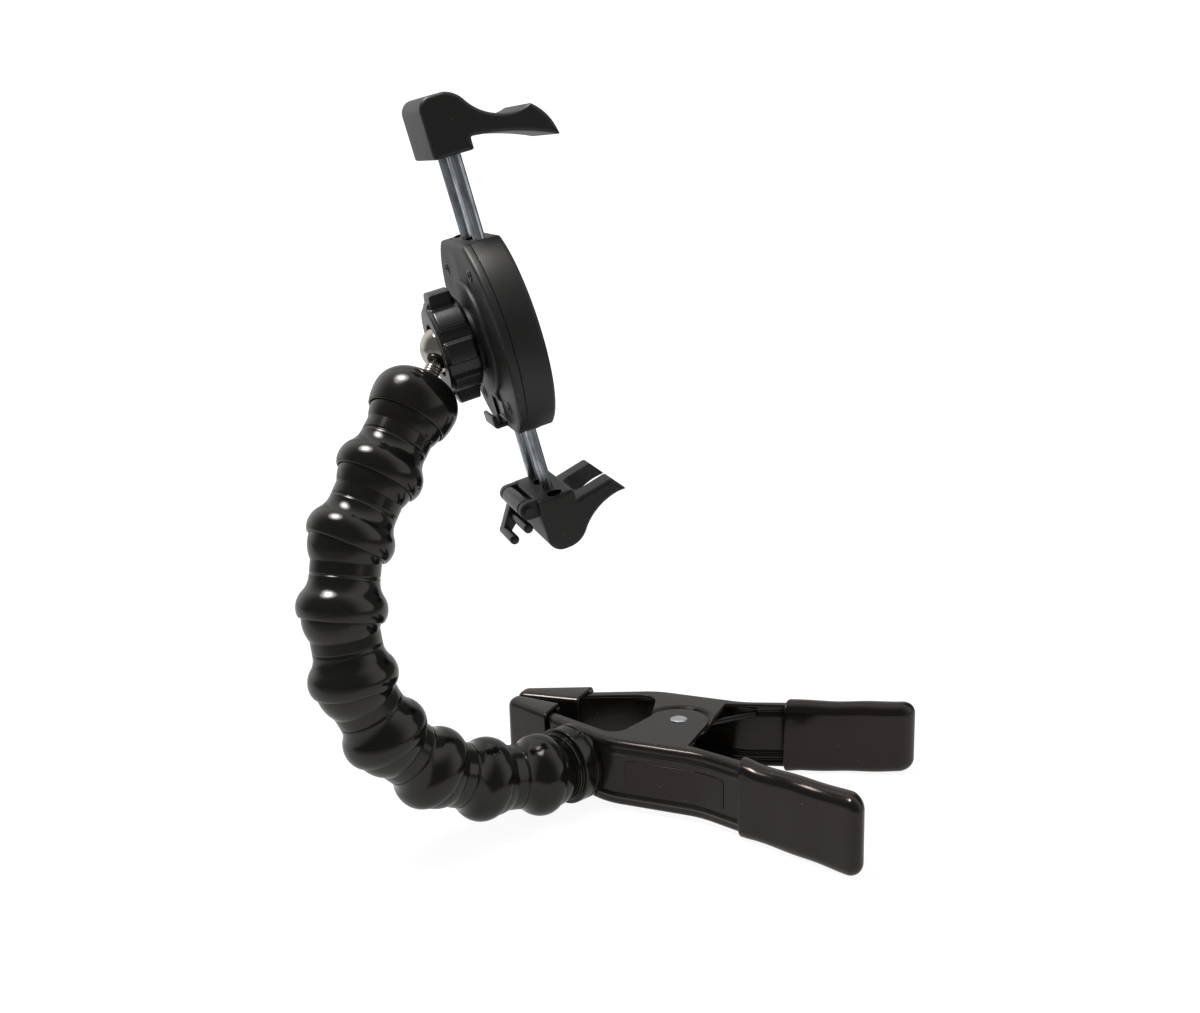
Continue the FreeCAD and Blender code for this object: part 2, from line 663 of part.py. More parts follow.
BALL_DEPTH = "sqrt(size.hose_ball ^ 2 - size.neck_radius ^ 2)"
BALL_FLAT = "sqrt(size.hose_ball ^ 2 - size.ball_top ^ 2)"
SOCKET = "(size.hose_ball + size.socket_gap)"
SOCKET_MOUTH = "sqrt(%s ^ 2 - size.rim_depth ^ 2)" % SOCKET
SOCKET_TOP = "sqrt(%s ^ 2 - size.hose_bore ^ 2)" % SOCKET
CAP_HOLLOW = "sqrt(%s ^ 2 - size.cap_hollow ^ 2)" % SOCKET


def bulge_radius(drop, height):
    """Arc that leaves the widest ring upright and comes in by drop over height."""
    return "((%s) ^ 2 + (%s) ^ 2) / (2 * (%s))" % (height, drop, drop)


def socket_steps(widest):
    """Socket side of a link's section: rim, then up the outside to the widest ring."""
    return [
        (SOCKET_MOUTH, "-size.rim_depth", SOCKET, 1),
        ("size.rim_radius", "-size.rim_depth"),
        ("size.link_radius", widest,
         bulge_radius("size.link_radius - size.rim_radius", widest + " + size.rim_depth"), -1),
    ]


def shoulder_steps():
    """Two equal arcs, round then hollow, from the widest ring to the neck, upright at both ends."""
    arc = bulge_radius("(size.link_radius - size.neck_radius) / 2",
                       "(size.shoulder_height - size.widest_height) / 2")
    return [
        ("(size.link_radius + size.neck_radius) / 2", "(size.widest_height + size.shoulder_height) / 2",
         arc, -1),
        ("size.neck_radius", "size.shoulder_height", arc, 1),
    ]


def hose_link(index):
    """One link: a socket below, a flared shoulder, a neck and a bored ball on top."""
    body = new_body("hose_link_%d" % index)
    sketch = new_sketch(body, "XZ_Plane")
    outline(sketch, socket_steps("size.widest_height") + shoulder_steps() + [
        ("size.neck_radius", "size.link_pitch - " + BALL_DEPTH),
        (BALL_FLAT, "size.link_pitch + size.ball_top", "size.hose_ball", -1),
        ("size.hose_bore", "size.link_pitch + size.ball_top"),
        ("size.hose_bore", SOCKET_TOP),
    ])
    revolve(body, sketch)
    return body


def hose_base():
    """Collar bolted to the front arm, with a stepped ring and the first ball."""
    body = new_body("hose_base")
    sketch = new_sketch(body, "XZ_Plane")
    outline(sketch, [
        ("0", "0"),
        ("size.collar_radius", "0"),
        ("size.collar_radius", "size.collar_length"),
        ("size.ring_radius", "size.collar_length"),
        ("size.ring_radius", "size.collar_length + size.ring_length"),
        ("size.neck_radius", "size.collar_length + size.ring_length"),
        ("size.neck_radius", "size.base_length - " + BALL_DEPTH),
        (BALL_FLAT, "size.base_length + size.ball_top", "size.hose_ball", -1),
        ("0", "size.base_length + size.ball_top"),
    ])
    revolve(body, sketch)
    hole = new_sketch(body, "XY_Plane")
    circle(hole, "0", "0", "size.bolt_radius")
    pocket(body, hole, "size.bolt_grip", reverse=True)
    return body


def base_bolt():
    """Round-headed bolt from inside the channel."""
    body = new_body("base_bolt")
    sketch = new_sketch(body, "XZ_Plane")
    outline(sketch, [
        ("0", "-size.steel - size.bolt_head_length"),
        ("size.bolt_head * 0.7", "-size.steel - size.bolt_head_length"),
        ("size.bolt_head", "-size.steel - size.bolt_head_length * 0.5"),
        ("size.bolt_head", "-size.steel"),
        ("size.bolt_radius", "-size.steel"),
        ("size.bolt_radius", "size.bolt_grip"),
        ("0", "size.bolt_grip"),
    ])
    revolve(body, sketch)
    return body


def end_cap():
    """Domed cap that closes the hose and carries the ball stud."""
    body = new_body("end_cap")
    sketch = new_sketch(body, "XZ_Plane")
    outline(sketch, socket_steps("size.cap_widest") + [
        ("size.cap_flat", "size.cap_top",
         bulge_radius("size.link_radius - size.cap_flat", "size.cap_top - size.cap_widest") + " + 0.01",
         -1),
        ("size.stud_neck", "size.cap_top"),
        ("size.stud_neck", "size.cap_hollow"),
        (CAP_HOLLOW, "size.cap_hollow"),
    ])
    revolve(body, sketch)
    return body


def ball_stud():
    """Polished ball on a neck that is screwed into the end cap."""
    body = new_body("ball_stud")
    sketch = new_sketch(body, "XZ_Plane")
    neck = "sqrt(size.stud_ball ^ 2 - size.stud_neck ^ 2)"
    outline(sketch, [
        ("0", "size.cap_top - size.stud_grip"),
        ("size.stud_neck", "size.cap_top - size.stud_grip"),
        ("size.stud_neck", "size.stud_length - " + neck),
        ("0", "size.stud_length + size.stud_ball", "size.stud_ball", -1),
    ])
    revolve(body, sketch)
    return body


# Holder

def holder_placement(centre):
    turn = Rotation(Vector(0, 0, 1), HOLDER_COMPASS)
    lean = Rotation(Vector(0, 1, 0), 90 - HOLDER_RISE)
    roll = Rotation(Vector(0, 0, 1), 90 + HOLDER_ROLL)
    return Placement(centre, turn * lean * roll)


SEAT_BALL = "(size.stud_ball + size.ball_gap)"
SEAT_MOUTH = "sqrt(%s ^ 2 - size.seat_lip ^ 2)" % SEAT_BALL


def ball_seat():
    """Cup that holds the stud's ball past its middle."""
    body = new_body("ball_seat")
    sketch = new_sketch(body, "XZ_Plane")
    outline(sketch, [
        (SEAT_MOUTH, "-size.seat_lip", SEAT_BALL, 1),
        ("size.seat_radius", "-size.seat_lip"),
        ("size.seat_radius", "size.case_back - size.seat_fit"),
        ("0", "size.case_back - size.seat_fit"),
        ("0", SEAT_BALL),
    ])
    revolve(body, sketch)
    return body


KNOB_LOW = "-(size.seat_lip + size.knob_fit + size.knob_lip)"
KNOB_HIGH = "%s + size.knob_height" % KNOB_LOW


def ring_knob():
    """Ring that clamps the seat: grip pads with sunk panels all round, and two lugs."""
    body = new_body("ring_knob")
    sketch = new_sketch(body, "XZ_Plane")
    outline(sketch, [
        ("size.knob_mouth", KNOB_LOW),
        ("size.knob_radius", KNOB_LOW),
        ("size.knob_radius", KNOB_HIGH),
        ("size.seat_radius + size.knob_fit", KNOB_HIGH),
        ("size.seat_radius + size.knob_fit", "-(size.seat_lip + size.knob_fit)"),
        ("size.knob_mouth", "-(size.seat_lip + size.knob_fit)"),
    ])
    revolve(body, sketch)
    raised = new_sketch(body, "XY_Plane", KNOB_LOW + " + size.pad_inset")
    outline(raised, [
        ("size.knob_radius - size.pad_rise", "-size.pad_width / 2"),
        ("size.knob_radius + size.pad_rise", "-size.pad_width / 2", "size.pad_rise * 0.6"),
        ("size.knob_radius + size.pad_rise", "size.pad_width / 2", "size.pad_rise * 0.6"),
        ("size.knob_radius - size.pad_rise", "size.pad_width / 2"),
    ])
    first = pad(body, raised, "size.knob_height - 2 * size.pad_inset")
    polar(body, [first], 8)
    lugs = new_sketch(body, "XY_Plane", KNOB_LOW + " + (size.knob_height - size.lug_height) / 2")
    outline(lugs, [
        ("-size.lug_width / 2", "size.knob_radius - size.pad_rise"),
        ("size.lug_width / 2", "size.knob_radius - size.pad_rise"),
        ("size.lug_width / 2", "size.knob_radius + size.lug_rise", "size.pad_rise"),
        ("-size.lug_width / 2", "size.knob_radius + size.lug_rise", "size.pad_rise"),
    ])
    lug = pad(body, lugs, "size.lug_height")
    polar(body, [lug], 2)
    return body


CASE_FLAT = "sqrt(size.case_radius ^ 2 - size.case_half ^ 2)"
CASE_SPLIT = "size.case_back + size.cover_depth"


def case_steps():
    """Plan of the housing: a circle with a flat end for each pair of rods."""
    return [
        ("-" + CASE_FLAT, "size.case_half"),
        ("-" + CASE_FLAT, "-size.case_half", "size.case_radius", -1),
        (CASE_FLAT, "-size.case_half"),
        (CASE_FLAT, "size.case_half", "size.case_radius", -1),
    ]


def screw_places():
    return [(across, along) for across in ("-size.screw_across", "size.screw_across")
            for along in ("-size.screw_along", "size.screw_along")]


def back_cover():
    """Back of the housing, with the boss round the knob, four screw holes and the lever's slot."""
    body = new_body("back_cover")
    sketch = new_sketch(body, "XY_Plane", "size.case_back")
    outline(sketch, case_steps())
    pad(body, sketch, "size.cover_depth")
    level = val("case_back")
    round_edges(body, lambda edge: abs(middle_of(edge).z - level) < 0.01, "size.case_round")
    boss = new_sketch(body, "XY_Plane", "size.case_back - size.boss_rise")
    circle(boss, "0", "0", "size.boss_radius")
    pad(body, boss, "size.boss_rise + size.cover_depth / 2")
    round_edges(body, lambda edge: abs(middle_of(edge).z - level + val("boss_rise")) < 0.01
                and edge.Length > 6 * val("seat_radius"), "size.boss_rise * 0.8")
    mouth = new_sketch(body, "XY_Plane", "size.case_back - size.boss_rise")
    circle(mouth, "0", "0", "size.seat_radius + size.seat_fit")
    pocket(body, mouth, "size.boss_rise", reverse=True)
    heads = new_sketch(body, "XY_Plane", "size.case_back")
    for across, along in screw_places():
        circle(heads, across, along, "size.screw_head")
    pocket(body, heads, "size.screw_head_depth + size.screw_sunk", reverse=True)
    shanks = new_sketch(body, "XY_Plane", "size.case_back")
    for across, along in screw_places():
        circle(shanks, across, along, "size.screw_shank")
    pocket(body, shanks, "size.cover_depth", reverse=True)
    slot = new_sketch(body, "XY_Plane", "size.case_back")
    outline(slot, [
        ("-size.slot_width / 2", "-size.slot_low"),
        ("size.slot_width / 2", "-size.slot_low"),
        ("size.slot_width / 2", "-size.slot_high"),
        ("-size.slot_width / 2", "-size.slot_high"),
    ])
    pocket(body, slot, "size.cover_depth", reverse=True)
    pin = new_sketch(body, "YZ_Plane")
    circle(pin, LEVER_PIVOT[0], LEVER_PIVOT[1], "size.lever_pin")
    pocket(body, pin, "size.slot_width + 4", symmetric=True)
    return body


LEVER_PIVOT = ("-(size.slot_high + 2.4)", "size.case_back + size.cover_depth / 2 + 0.2")


def front_housing():
    """Front of the housing, bored for the four rods and the screws."""
    body = new_body("front_housing")
    sketch = new_sketch(body, "XY_Plane", CASE_SPLIT)
    outline(sketch, case_steps())
    pad(body, sketch, "size.case_depth - size.cover_depth")
    level = val("case_back") + val("case_depth")
    round_edges(body, lambda edge: abs(middle_of(edge).z - level) < 0.01, "size.case_round")
    bores = new_sketch(body, "XZ_Plane")
    for place in (-1.5, -0.5, 0.5, 1.5):
        circle(bores, "%s * size.rod_step" % place, "size.rod_level", "size.rod_radius + size.rod_fit")
    pocket(body, bores, "size.case_half * 2 + 2", symmetric=True)
    shanks = new_sketch(body, "XY_Plane", CASE_SPLIT)
    for across, along in screw_places():
        circle(shanks, across, along, "size.screw_shank")
    pocket(body, shanks, "size.screw_length - size.cover_depth", reverse=True)
    well = new_sketch(body, "XY_Plane", CASE_SPLIT)
    outline(well, [
        ("-size.slot_width / 2", "-size.slot_low"),
        ("size.slot_width / 2", "-size.slot_low"),
        ("size.slot_width / 2", "-size.slot_high"),
        ("-size.slot_width / 2", "-size.slot_high"),
    ])
    pocket(body, well, "size.cover_depth / 2", reverse=True)
    return body


def housing_screws():
    """Four cross-head screws through the back cover."""
    screws = []
    for across, along in screw_places():
        head = doc.addObject("Part::Cylinder", "screw_head")
        head.setExpression("Radius", "size.screw_head")
        head.setExpression("Height", "size.screw_head_depth")
        shank = doc.addObject("Part::Cylinder", "screw_shank")
        shank.setExpression("Radius", "size.screw_shank")
        shank.setExpression("Height", "size.screw_length - size.screw_head_depth - size.screw_sunk")
        place = Vector(number(across), number(along), val("case_back") + val("screw_sunk"))
        head.Placement.Base = place
        shank.Placement.Base = place + Vector(0, 0, val("screw_head_depth"))
        screw = doc.addObject("Part::Fuse", "screw")
        screw.Base = head
        screw.Tool = shank
        screws.append(screw)
    group = doc.addObject("Part::Compound", "housing_screws")
    group.Links = screws
    doc.recompute()
    pieces.append(group)


def rods(label, places, start, way):
    """Two steel rods of one arm, from their seat in it through the housing."""
    bars = []
    for place in places:
        bar = doc.addObject("Part::Cylinder", "rod")
        bar.setExpression("Radius", "size.rod_radius")
        bar.setExpression("Height", "size.rod_grip + size.rod_run")
        base = Vector(place * val("rod_step"), start + way * val("rod_grip"), val("rod_level"))
        bar.Placement = Placement(base, Rotation(Vector(1, 0, 0), 90 * way))
        bars.append(bar)
    group = doc.addObject("Part::Compound", label)
    group.Links = bars
    doc.recompute()
    pieces.append(group)


UPPER_LOW = "(size.case_half + size.upper_gap)"
LOWER_HIGH = "(-size.case_half - size.lower_gap)"
BLOCK_FRONT = "(size.case_back + size.block_depth)"
UPPER_RODS = (-1.5, 0.5)
LOWER_RODS = (-0.5, 1.5)


def arm_bores(body, own, other, depth_sign, level):
    """Seats for the arm's own rods, and long pockets that clear the other arm's rods."""
    seats = new_sketch(body, "XZ_Plane", level)
    for place in own:
        circle(seats, "%s * size.rod_step" % place, "size.rod_level", "size.rod_radius")
    pocket(body, seats, "size.rod_grip", reverse=depth_sign > 0)
    wells = new_sketch(body, "XZ_Plane", level)
    for place in other:
        circle(wells, "%s * size.rod_step" % place, "size.rod_level", "size.rod_radius + size.pocket_gap")
    pocket(body, wells, "size.rod_grip + 5", reverse=depth_sign > 0)


def upper_arm():
    """Block on two rods with a hook over the top of the device: one profile, pulled sideways."""
    body = new_body("upper_arm")
    sketch = new_sketch(body, "YZ_Plane")
    top = UPPER_LOW + " + size.upper_height"
    tip = BLOCK_FRONT + " + size.hook_reach"
    outline(sketch, [
        (UPPER_LOW, "size.case_back"),
        (top, "size.case_back", "4.2"),
        (top, BLOCK_FRONT + " - 4.6"),
        (top + " - 4.4", BLOCK_FRONT + " + 1.6", "9", -1),
        (top + " - 10.2", tip + " - 6.8", "17", 1),
        (UPPER_LOW + " - size.hook_drop", tip, "16", -1),
        (UPPER_LOW + " + size.hook_rise", BLOCK_FRONT, "80", 1),
        (UPPER_LOW, BLOCK_FRONT),
    ])
    pad(body, sketch, "size.arm_width", symmetric=True)
    arm_bores(body, UPPER_RODS, LOWER_RODS, -1, "-%s" % UPPER_LOW)
    return body


def lower_arm():
    """Block on two rods with two fingers under the device, and ears for the clip behind."""
    body = new_body("lower_arm")
    sketch = new_sketch(body, "YZ_Plane")
    low = LOWER_HIGH + " - size.lower_height"
    tip = BLOCK_FRONT + " + size.finger_reach"
    outline(sketch, [
        (LOWER_HIGH, "size.case_back"),
        (LOWER_HIGH, BLOCK_FRONT),
        (LOWER_HIGH + " - 4.0", BLOCK_FRONT),
        (LOWER_HIGH + " - 1.0", tip + " - 4.2"),
        (LOWER_HIGH + " - 6.4", tip),
        (LOWER_HIGH + " - 15.0", BLOCK_FRONT + " + 1.0", "22", 1),
        (low, BLOCK_FRONT + " - 6.0", "9", -1),
        (low, "size.case_back + 4.4"),
        (low + " + 4.4", "size.case_back", "5.2", -1),
    ])
    pad(body, sketch, "size.arm_width", symmetric=True)
    gap = new_sketch(body, "XZ_Plane", "-(%s) - 2" % LOWER_HIGH)
    half = "(size.arm_width / 2 - size.finger_width)"
    outline(gap, [
        ("-" + half, BLOCK_FRONT + " + 2", "3"),
        (half, BLOCK_FRONT + " + 2", "3"),
        (half, tip + " + 2"),
        ("-" + half, tip + " + 2"),
    ])
    pocket(body, gap, "size.lower_height + 4", reverse=True)
    arm_bores(body, LOWER_RODS, UPPER_RODS, 1, "-(%s)" % LOWER_HIGH)
    return body


def clip_centre():
    return (LOWER_HIGH + " - size.clip_down", "size.case_back - size.clip_out")


def clip_ears(body):
    """Two ears on the arm's back, bored for the clip's pin."""
    along, level = clip_centre()
    for side in (-1, 1):
        sketch = new_sketch(body, "YZ_Plane", "%d * (size.clip_width / 2 + size.ear_width / 2)" % side)
        outline(sketch, [
            (along + " - size.clip_eye", "size.case_back + 1"),
            (along + " - size.clip_eye", level),
            (along + " + size.clip_eye", level, "size.clip_eye * 1.0001", -1),
            (along + " + size.clip_eye", "size.case_back + 1"),
        ])
        pad(body, sketch, "size.ear_width - size.lever_gap * 2", symmetric=True)
    bore = new_sketch(body, "YZ_Plane")
    circle(bore, along, level, "size.clip_pin")
    pocket(body, bore, "size.clip_width + size.ear_width * 2 + 2", symmetric=True)


def clip_pin():
    pin = doc.addObject("Part::Cylinder", "clip_pin")
    pin.setExpression("Radius", "size.clip_pin")
    pin.setExpression("Height", "size.clip_width + size.ear_width * 2 + 2")
    along, level = clip_centre()
    half = (val("clip_width") + val("ear_width") * 2 + 2) / 2
    pin.Placement = Placement(Vector(-half, number(along), number(level)), Rotation(Vector(0, 1, 0), 90))
    pieces.append(pin)


def cord_clip():
    """Swinging clip: a barrel on the pin, and a plate at one end that carries two prongs."""
    body = new_body("cord_clip")
    along, level = clip_centre()
    end = "size.clip_width / 2 - size.lever_gap"
    near = (along + " - 6.4", level + " - 1.4")
    far = (along + " - 10.9", level + " - 5.9")
    plate = new_sketch(body, "YZ_Plane", end)
    outline(plate, [
        (along + " + size.clip_eye", level, "size.clip_eye", -1),
        (along, level + " + size.clip_eye", "size.clip_eye", -1),
        (near[0] + " - 0.6", near[1] + " + 2.2", "2"),
        (far[0] + " - 2.0", far[1] + " + 0.2", "1.2"),
        (far[0] + " - 0.6", far[1] + " - 2.0", "1.2"),
        (along + " - size.clip_eye * sin(45)", level + " - size.clip_eye * sin(45)"),
    ])
    pad(body, plate, "size.plate_width", reverse=True)
    for middle, radius, length in (((along, level), "size.clip_eye", "size.clip_width - size.lever_gap * 2"),
                                   (near, "size.prong_radius", "size.near_prong"),
                                   (far, "size.prong_radius", "size.far_prong")):
        bar = new_sketch(body, "YZ_Plane", end)
        circle(bar, middle[0], middle[1], radius)
        pad(body, bar, length, reverse=True)
    bore = new_sketch(body, "YZ_Plane")
    circle(bore, along, level, "size.clip_pin + size.pin_fit")
    pocket(body, bore, "size.clip_width", symmetric=True)
    return body


def release_lever():
    """Small catch in the back cover's slot, turned out into a finger hook."""
    body = new_body("release_lever")
    along, level = LEVER_PIVOT
    sketch = new_sketch(body, "YZ_Plane")
    outline(sketch, [
        (along + " + 1.6", level + " - 1.2"),
        (along + " + 1.6", level + " + 1.2"),
        ("-size.slot_low + size.lever_gap", level + " + 1.2"),
        ("-size.slot_low + size.lever_gap", "size.case_back - size.lever_reach"),
        ("-size.slot_low + size.lever_gap + 4.5", "size.case_back - size.lever_reach"),
        ("-size.slot_low + size.lever_gap + 4.5", "size.case_back - size.lever_reach + 1.4"),
        ("-size.slot_low + size.lever_gap + 1.6", "size.case_back - size.lever_reach + 1.6"),
        ("-size.slot_low + size.lever_gap + 1.6", level + " - 1.2"),
    ])
    pad(body, sketch, "size.slot_width - size.lever_gap * 2", symmetric=True)
    bore = new_sketch(body, "YZ_Plane")
    circle(bore, along, level, "size.lever_pin + size.pin_fit")
    pocket(body, bore, "size.slot_width", symmetric=True)
    return body


def lever_pin():
    pin = doc.addObject("Part::Cylinder", "lever_pin")
    pin.setExpression("Radius", "size.lever_pin")
    pin.setExpression("Height", "size.slot_width + 4")
    half = val("slot_width") / 2 + 2
    pin.Placement = Placement(Vector(-half, number(LEVER_PIVOT[0]), number(LEVER_PIVOT[1])),
                              Rotation(Vector(0, 1, 0), 90))
    pieces.append(pin)


def build_clamp():
    for side, name in ((-1, "front"), (1, "back")):
        arm = clamp_arm(name + "_arm", side)
        clamp_bead(arm, side)
        if side < 0:
            bolt_hole(arm)
        grip(name + "_grip", side)
        jaw_pad(name + "_jaw_pad", side)
    pivot_rivet()
    torsion_spring()


def build_hose():
    points, axes = hose_pivots()
    seat, out = seat_frame()
    hose_base().Placement = facing(seat, out)
    base_bolt().Placement = facing(seat, out)
    for index in range(len(LINK_POSE)):
        hose_link(index + 1).Placement = facing(points[index], axes[index])
    end_cap().Placement = facing(points[-2], axes[-1])
    ball_stud().Placement = facing(points[-2], axes[-1])


def build_holder():
    before = len(pieces)
    ball_seat()
    ring_knob()
    back_cover()
    front_housing()
    housing_screws()
    upper_arm()
    rods("upper_rods", UPPER_RODS, number(UPPER_LOW), 1)
    lower = lower_arm()
    clip_ears(lower)
    rods("lower_rods", LOWER_RODS, number(LOWER_HIGH), -1)
    release_lever()
    lever_pin()
    cord_clip()
    clip_pin()
    points, axes = hose_pivots()
    place = holder_placement(points[-1])
    for piece in pieces[before:]:
        piece.Placement = place.multiply(piece.Placement)


def centre_on_footprint():
    """Move every piece so that the origin is under the middle of the whole."""
    doc.recompute()
    boxes = [piece.Shape.optimalBoundingBox(False, False) for piece in pieces]
    middle_x = (min(box.XMin for box in boxes) + max(box.XMax for box in boxes)) / 2
    middle_y = (min(box.YMin for box in boxes) + max(box.YMax for box in boxes)) / 2
    shift = Placement(Vector(-middle_x, -middle_y, 0), Rotation())
    for piece in pieces:
        piece.Placement = shift.multiply(piece.Placement)
    return shift.Base


def check_and_write():
    doc.recompute()
    for item in doc.Objects:
        if "Invalid" in item.State or "Error" in item.State:
            raise RuntimeError("%s failed: %s" % (item.Label, item.State))
    for piece in pieces:
        if piece.Shape.isNull() or not piece.Shape.isValid():
            raise RuntimeError("%s has no valid shape" % piece.Label)
    os.makedirs("parts", exist_ok=True)
    for piece in pieces:
        piece.Shape.exportStep("parts/%s.step" % piece.Label)
        print(piece.Label, round(piece.Shape.Volume, 1), len(piece.Shape.Solids))


fill_sheet()
build_clamp()
build_hose()
build_holder()
centre_on_footprint()
check_and_write()
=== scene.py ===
"""Clamp phone mount: the visible pieces, their finishes and the studio.

Each operator makes one piece or one group of like pieces on the packed frame. Shapes are worked out
in millimetres in a seat, which is an origin and three axes, and are then placed in the frame.
"""

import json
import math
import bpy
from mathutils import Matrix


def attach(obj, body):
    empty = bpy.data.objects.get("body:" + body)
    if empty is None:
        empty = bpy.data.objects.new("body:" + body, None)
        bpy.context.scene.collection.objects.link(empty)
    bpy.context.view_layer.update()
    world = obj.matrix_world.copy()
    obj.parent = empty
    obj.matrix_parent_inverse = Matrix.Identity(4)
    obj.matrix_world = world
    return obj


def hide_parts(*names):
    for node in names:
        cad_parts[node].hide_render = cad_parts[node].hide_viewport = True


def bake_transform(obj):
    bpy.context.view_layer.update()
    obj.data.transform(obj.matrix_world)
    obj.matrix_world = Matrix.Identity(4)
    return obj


bl_info = {
    "name": "Clamp phone mount",
    "version": (1, 0, 0),
    "blender": (4, 5, 0),
    "location": "3D View > Sidebar > Clamp mount",
    "description": "Sprung clamp, ball-and-socket hose and sliding holder, with their finishes",
    "category": "Object",
}

from types import SimpleNamespace

import bpy
import numpy as np
from bpy.props import FloatProperty, FloatVectorProperty, IntProperty, PointerProperty
from mathutils import Matrix

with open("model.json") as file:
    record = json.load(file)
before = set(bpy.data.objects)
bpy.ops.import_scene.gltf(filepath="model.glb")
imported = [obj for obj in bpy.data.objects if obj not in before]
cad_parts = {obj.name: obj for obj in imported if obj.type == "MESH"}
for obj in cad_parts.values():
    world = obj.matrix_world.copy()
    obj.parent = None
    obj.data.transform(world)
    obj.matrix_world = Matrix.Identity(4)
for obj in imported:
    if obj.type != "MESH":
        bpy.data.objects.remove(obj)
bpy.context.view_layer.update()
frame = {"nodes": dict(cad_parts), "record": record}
JOINTS = {joint["name"]: joint for joint in frame["record"]["behaviour"]["joints"]}
MM = 0.001


def sizes(group):
    """The settings of a group, with lengths in millimetres."""
    held = getattr(bpy.context.scene, "clampmount_" + group)
    return SimpleNamespace(**{
        item.identifier: getattr(held, item.identifier) * (1000 if item.unit == "LENGTH" else 1)
        for item in held.bl_rna.properties if item.type == "FLOAT"})


# Seats: where each group of pieces stands in the frame

def unit(vector):
    return np.array(vector, float) / np.linalg.norm(vector)


def joint_place(name):
    return np.array(JOINTS[name]["pos_m"], float)


def seat(origin, x_axis, y_axis, z_axis):
    """A seat: an origin in metres and three unit axes as the rows of a matrix."""
    return np.array(origin, float), np.array([x_axis, y_axis, z_axis], float)


def seat_along(origin, z_axis):
    """A seat whose z axis is given and whose x axis lies level."""
    z_axis = unit(z_axis)
    x_axis = unit(np.cross([0.0, 0.0, 1.0], z_axis))
    return seat(origin, x_axis, np.cross(z_axis, x_axis), z_axis)


def clamp_seat():
    origin = joint_place("clamp_squeeze")
    origin[2] = 0.0
    return seat(origin, (1, 0, 0), (0, 1, 0), (0, 0, 1))


def hose_places():
    """Ball centres from the base to the stud's ball."""
    names = ["link_%d_bend" % (k + 1) for k in range(8)] + ["cap_bend", "ball_tilt"]
    return np.array([joint_place(name) for name in names])


def holder_seat():
    """Origin in the stud's ball, x across the arms, y along the rods, z towards the held device."""
    y_axis = unit(JOINTS["upper_slide"]["axis"])
    z_axis = unit(JOINTS["knob_turn"]["axis"])
    return seat(joint_place("knob_turn"), np.cross(y_axis, z_axis), y_axis, z_axis)


def profile_seat():
    """The holder's seat turned so that an outline along the rods is pulled across the arms."""
    origin, axes = holder_seat()
    return seat(origin, axes[1], axes[2], axes[0])


# Outlines and sections, in millimetres

def quarter(steps):
    """Angles of a quarter turn."""
    return np.linspace(0, math.pi / 2, steps)


def circle(steps):
    """Angles once round, without the last, which is the first."""
    return np.linspace(0, 2 * math.pi, steps, endpoint=False)


def on_arc(angle):
    return np.stack([np.cos(angle), np.sin(angle)], 1)


def arc_about(centre, first, last, steps=None, per_turn=48):
    """Arc about a centre from one offset to another, the short way round."""
    sweep = math.atan2(first[0] * last[1] - first[1] * last[0], first @ last)
    steps = steps or max(3, int(abs(sweep) / (2 * math.pi) * per_turn) + 1)
    angle = math.atan2(first[1], first[0]) + np.linspace(0, sweep, steps)
    return centre + np.linalg.norm(first) * on_arc(angle)


def rounded(corners, closed=True, per_turn=48):
    """Polyline through corners (x, y, r): each corner is cut by an arc of radius r tangent to both legs."""
    runs = []
    count = len(corners)
    for i, (x, y, r) in enumerate(corners):
        here = np.array([x, y], float)
        if r <= 0 or (not closed and i in (0, count - 1)):
            runs.append(here[None, :])
            continue
        before = unit(np.array(corners[i - 1][:2], float) - here)
        after = unit(np.array(corners[(i + 1) % count][:2], float) - here)
        half = math.acos(float(np.clip(before @ after, -1, 1))) / 2
        centre = here + unit(before + after) * r / math.sin(half)
        first = here + before * r / math.tan(half) - centre
        last = here + after * r / math.tan(half) - centre
        runs.append(arc_about(centre, first, last, None, per_turn))
    return np.concatenate(runs)


def bow(a, b, radius, side, steps):
    """Arc from a to b of a given radius that bulges to the left (1) or to the right (-1)."""
    a = np.array(a, float)
    b = np.array(b, float)
    reach = np.linalg.norm(b - a)
    left = np.array([a[1] - b[1], b[0] - a[0]]) / reach
    centre = (a + b) / 2 - side * left * math.sqrt(max(radius ** 2 - reach ** 2 / 4, 0.0))
    return arc_about(centre, a - centre, b - centre, steps)


def arc_section(centre, radius, first, last, steps):
    """Arc of a section about (r, z), from one angle to another, in degrees."""
    return np.array(centre) + radius * on_arc(np.radians(np.linspace(first, last, steps)))


def even(path, spacing, closed=False):
    """The same polyline with points added, so that no run is longer than the spacing."""
    ends = np.roll(path, -1, 0) if closed else np.concatenate([path[1:], path[-1:]])
    parts = np.maximum(1, np.ceil(np.linalg.norm(ends - path, axis=1) / spacing)).astype(int)
    if not closed:
        parts[-1] = 1
    index = np.repeat(np.arange(len(path)), parts)
    offset = np.arange(len(index)) - np.repeat(np.cumsum(parts) - parts, parts)
    share = (offset / parts[index])[:, None]
    return path[index] * (1 - share) + ends[index] * share


def eased(run):
    """An outline with its points spread evenly and its corners softened, by averaging each point with
    its neighbours a few times."""
    run = even(run, 0.45, True)
    for _ in range(3):
        run = 0.25 * np.roll(run, 1, 0) + 0.5 * run + 0.25 * np.roll(run, -1, 0)
    return run


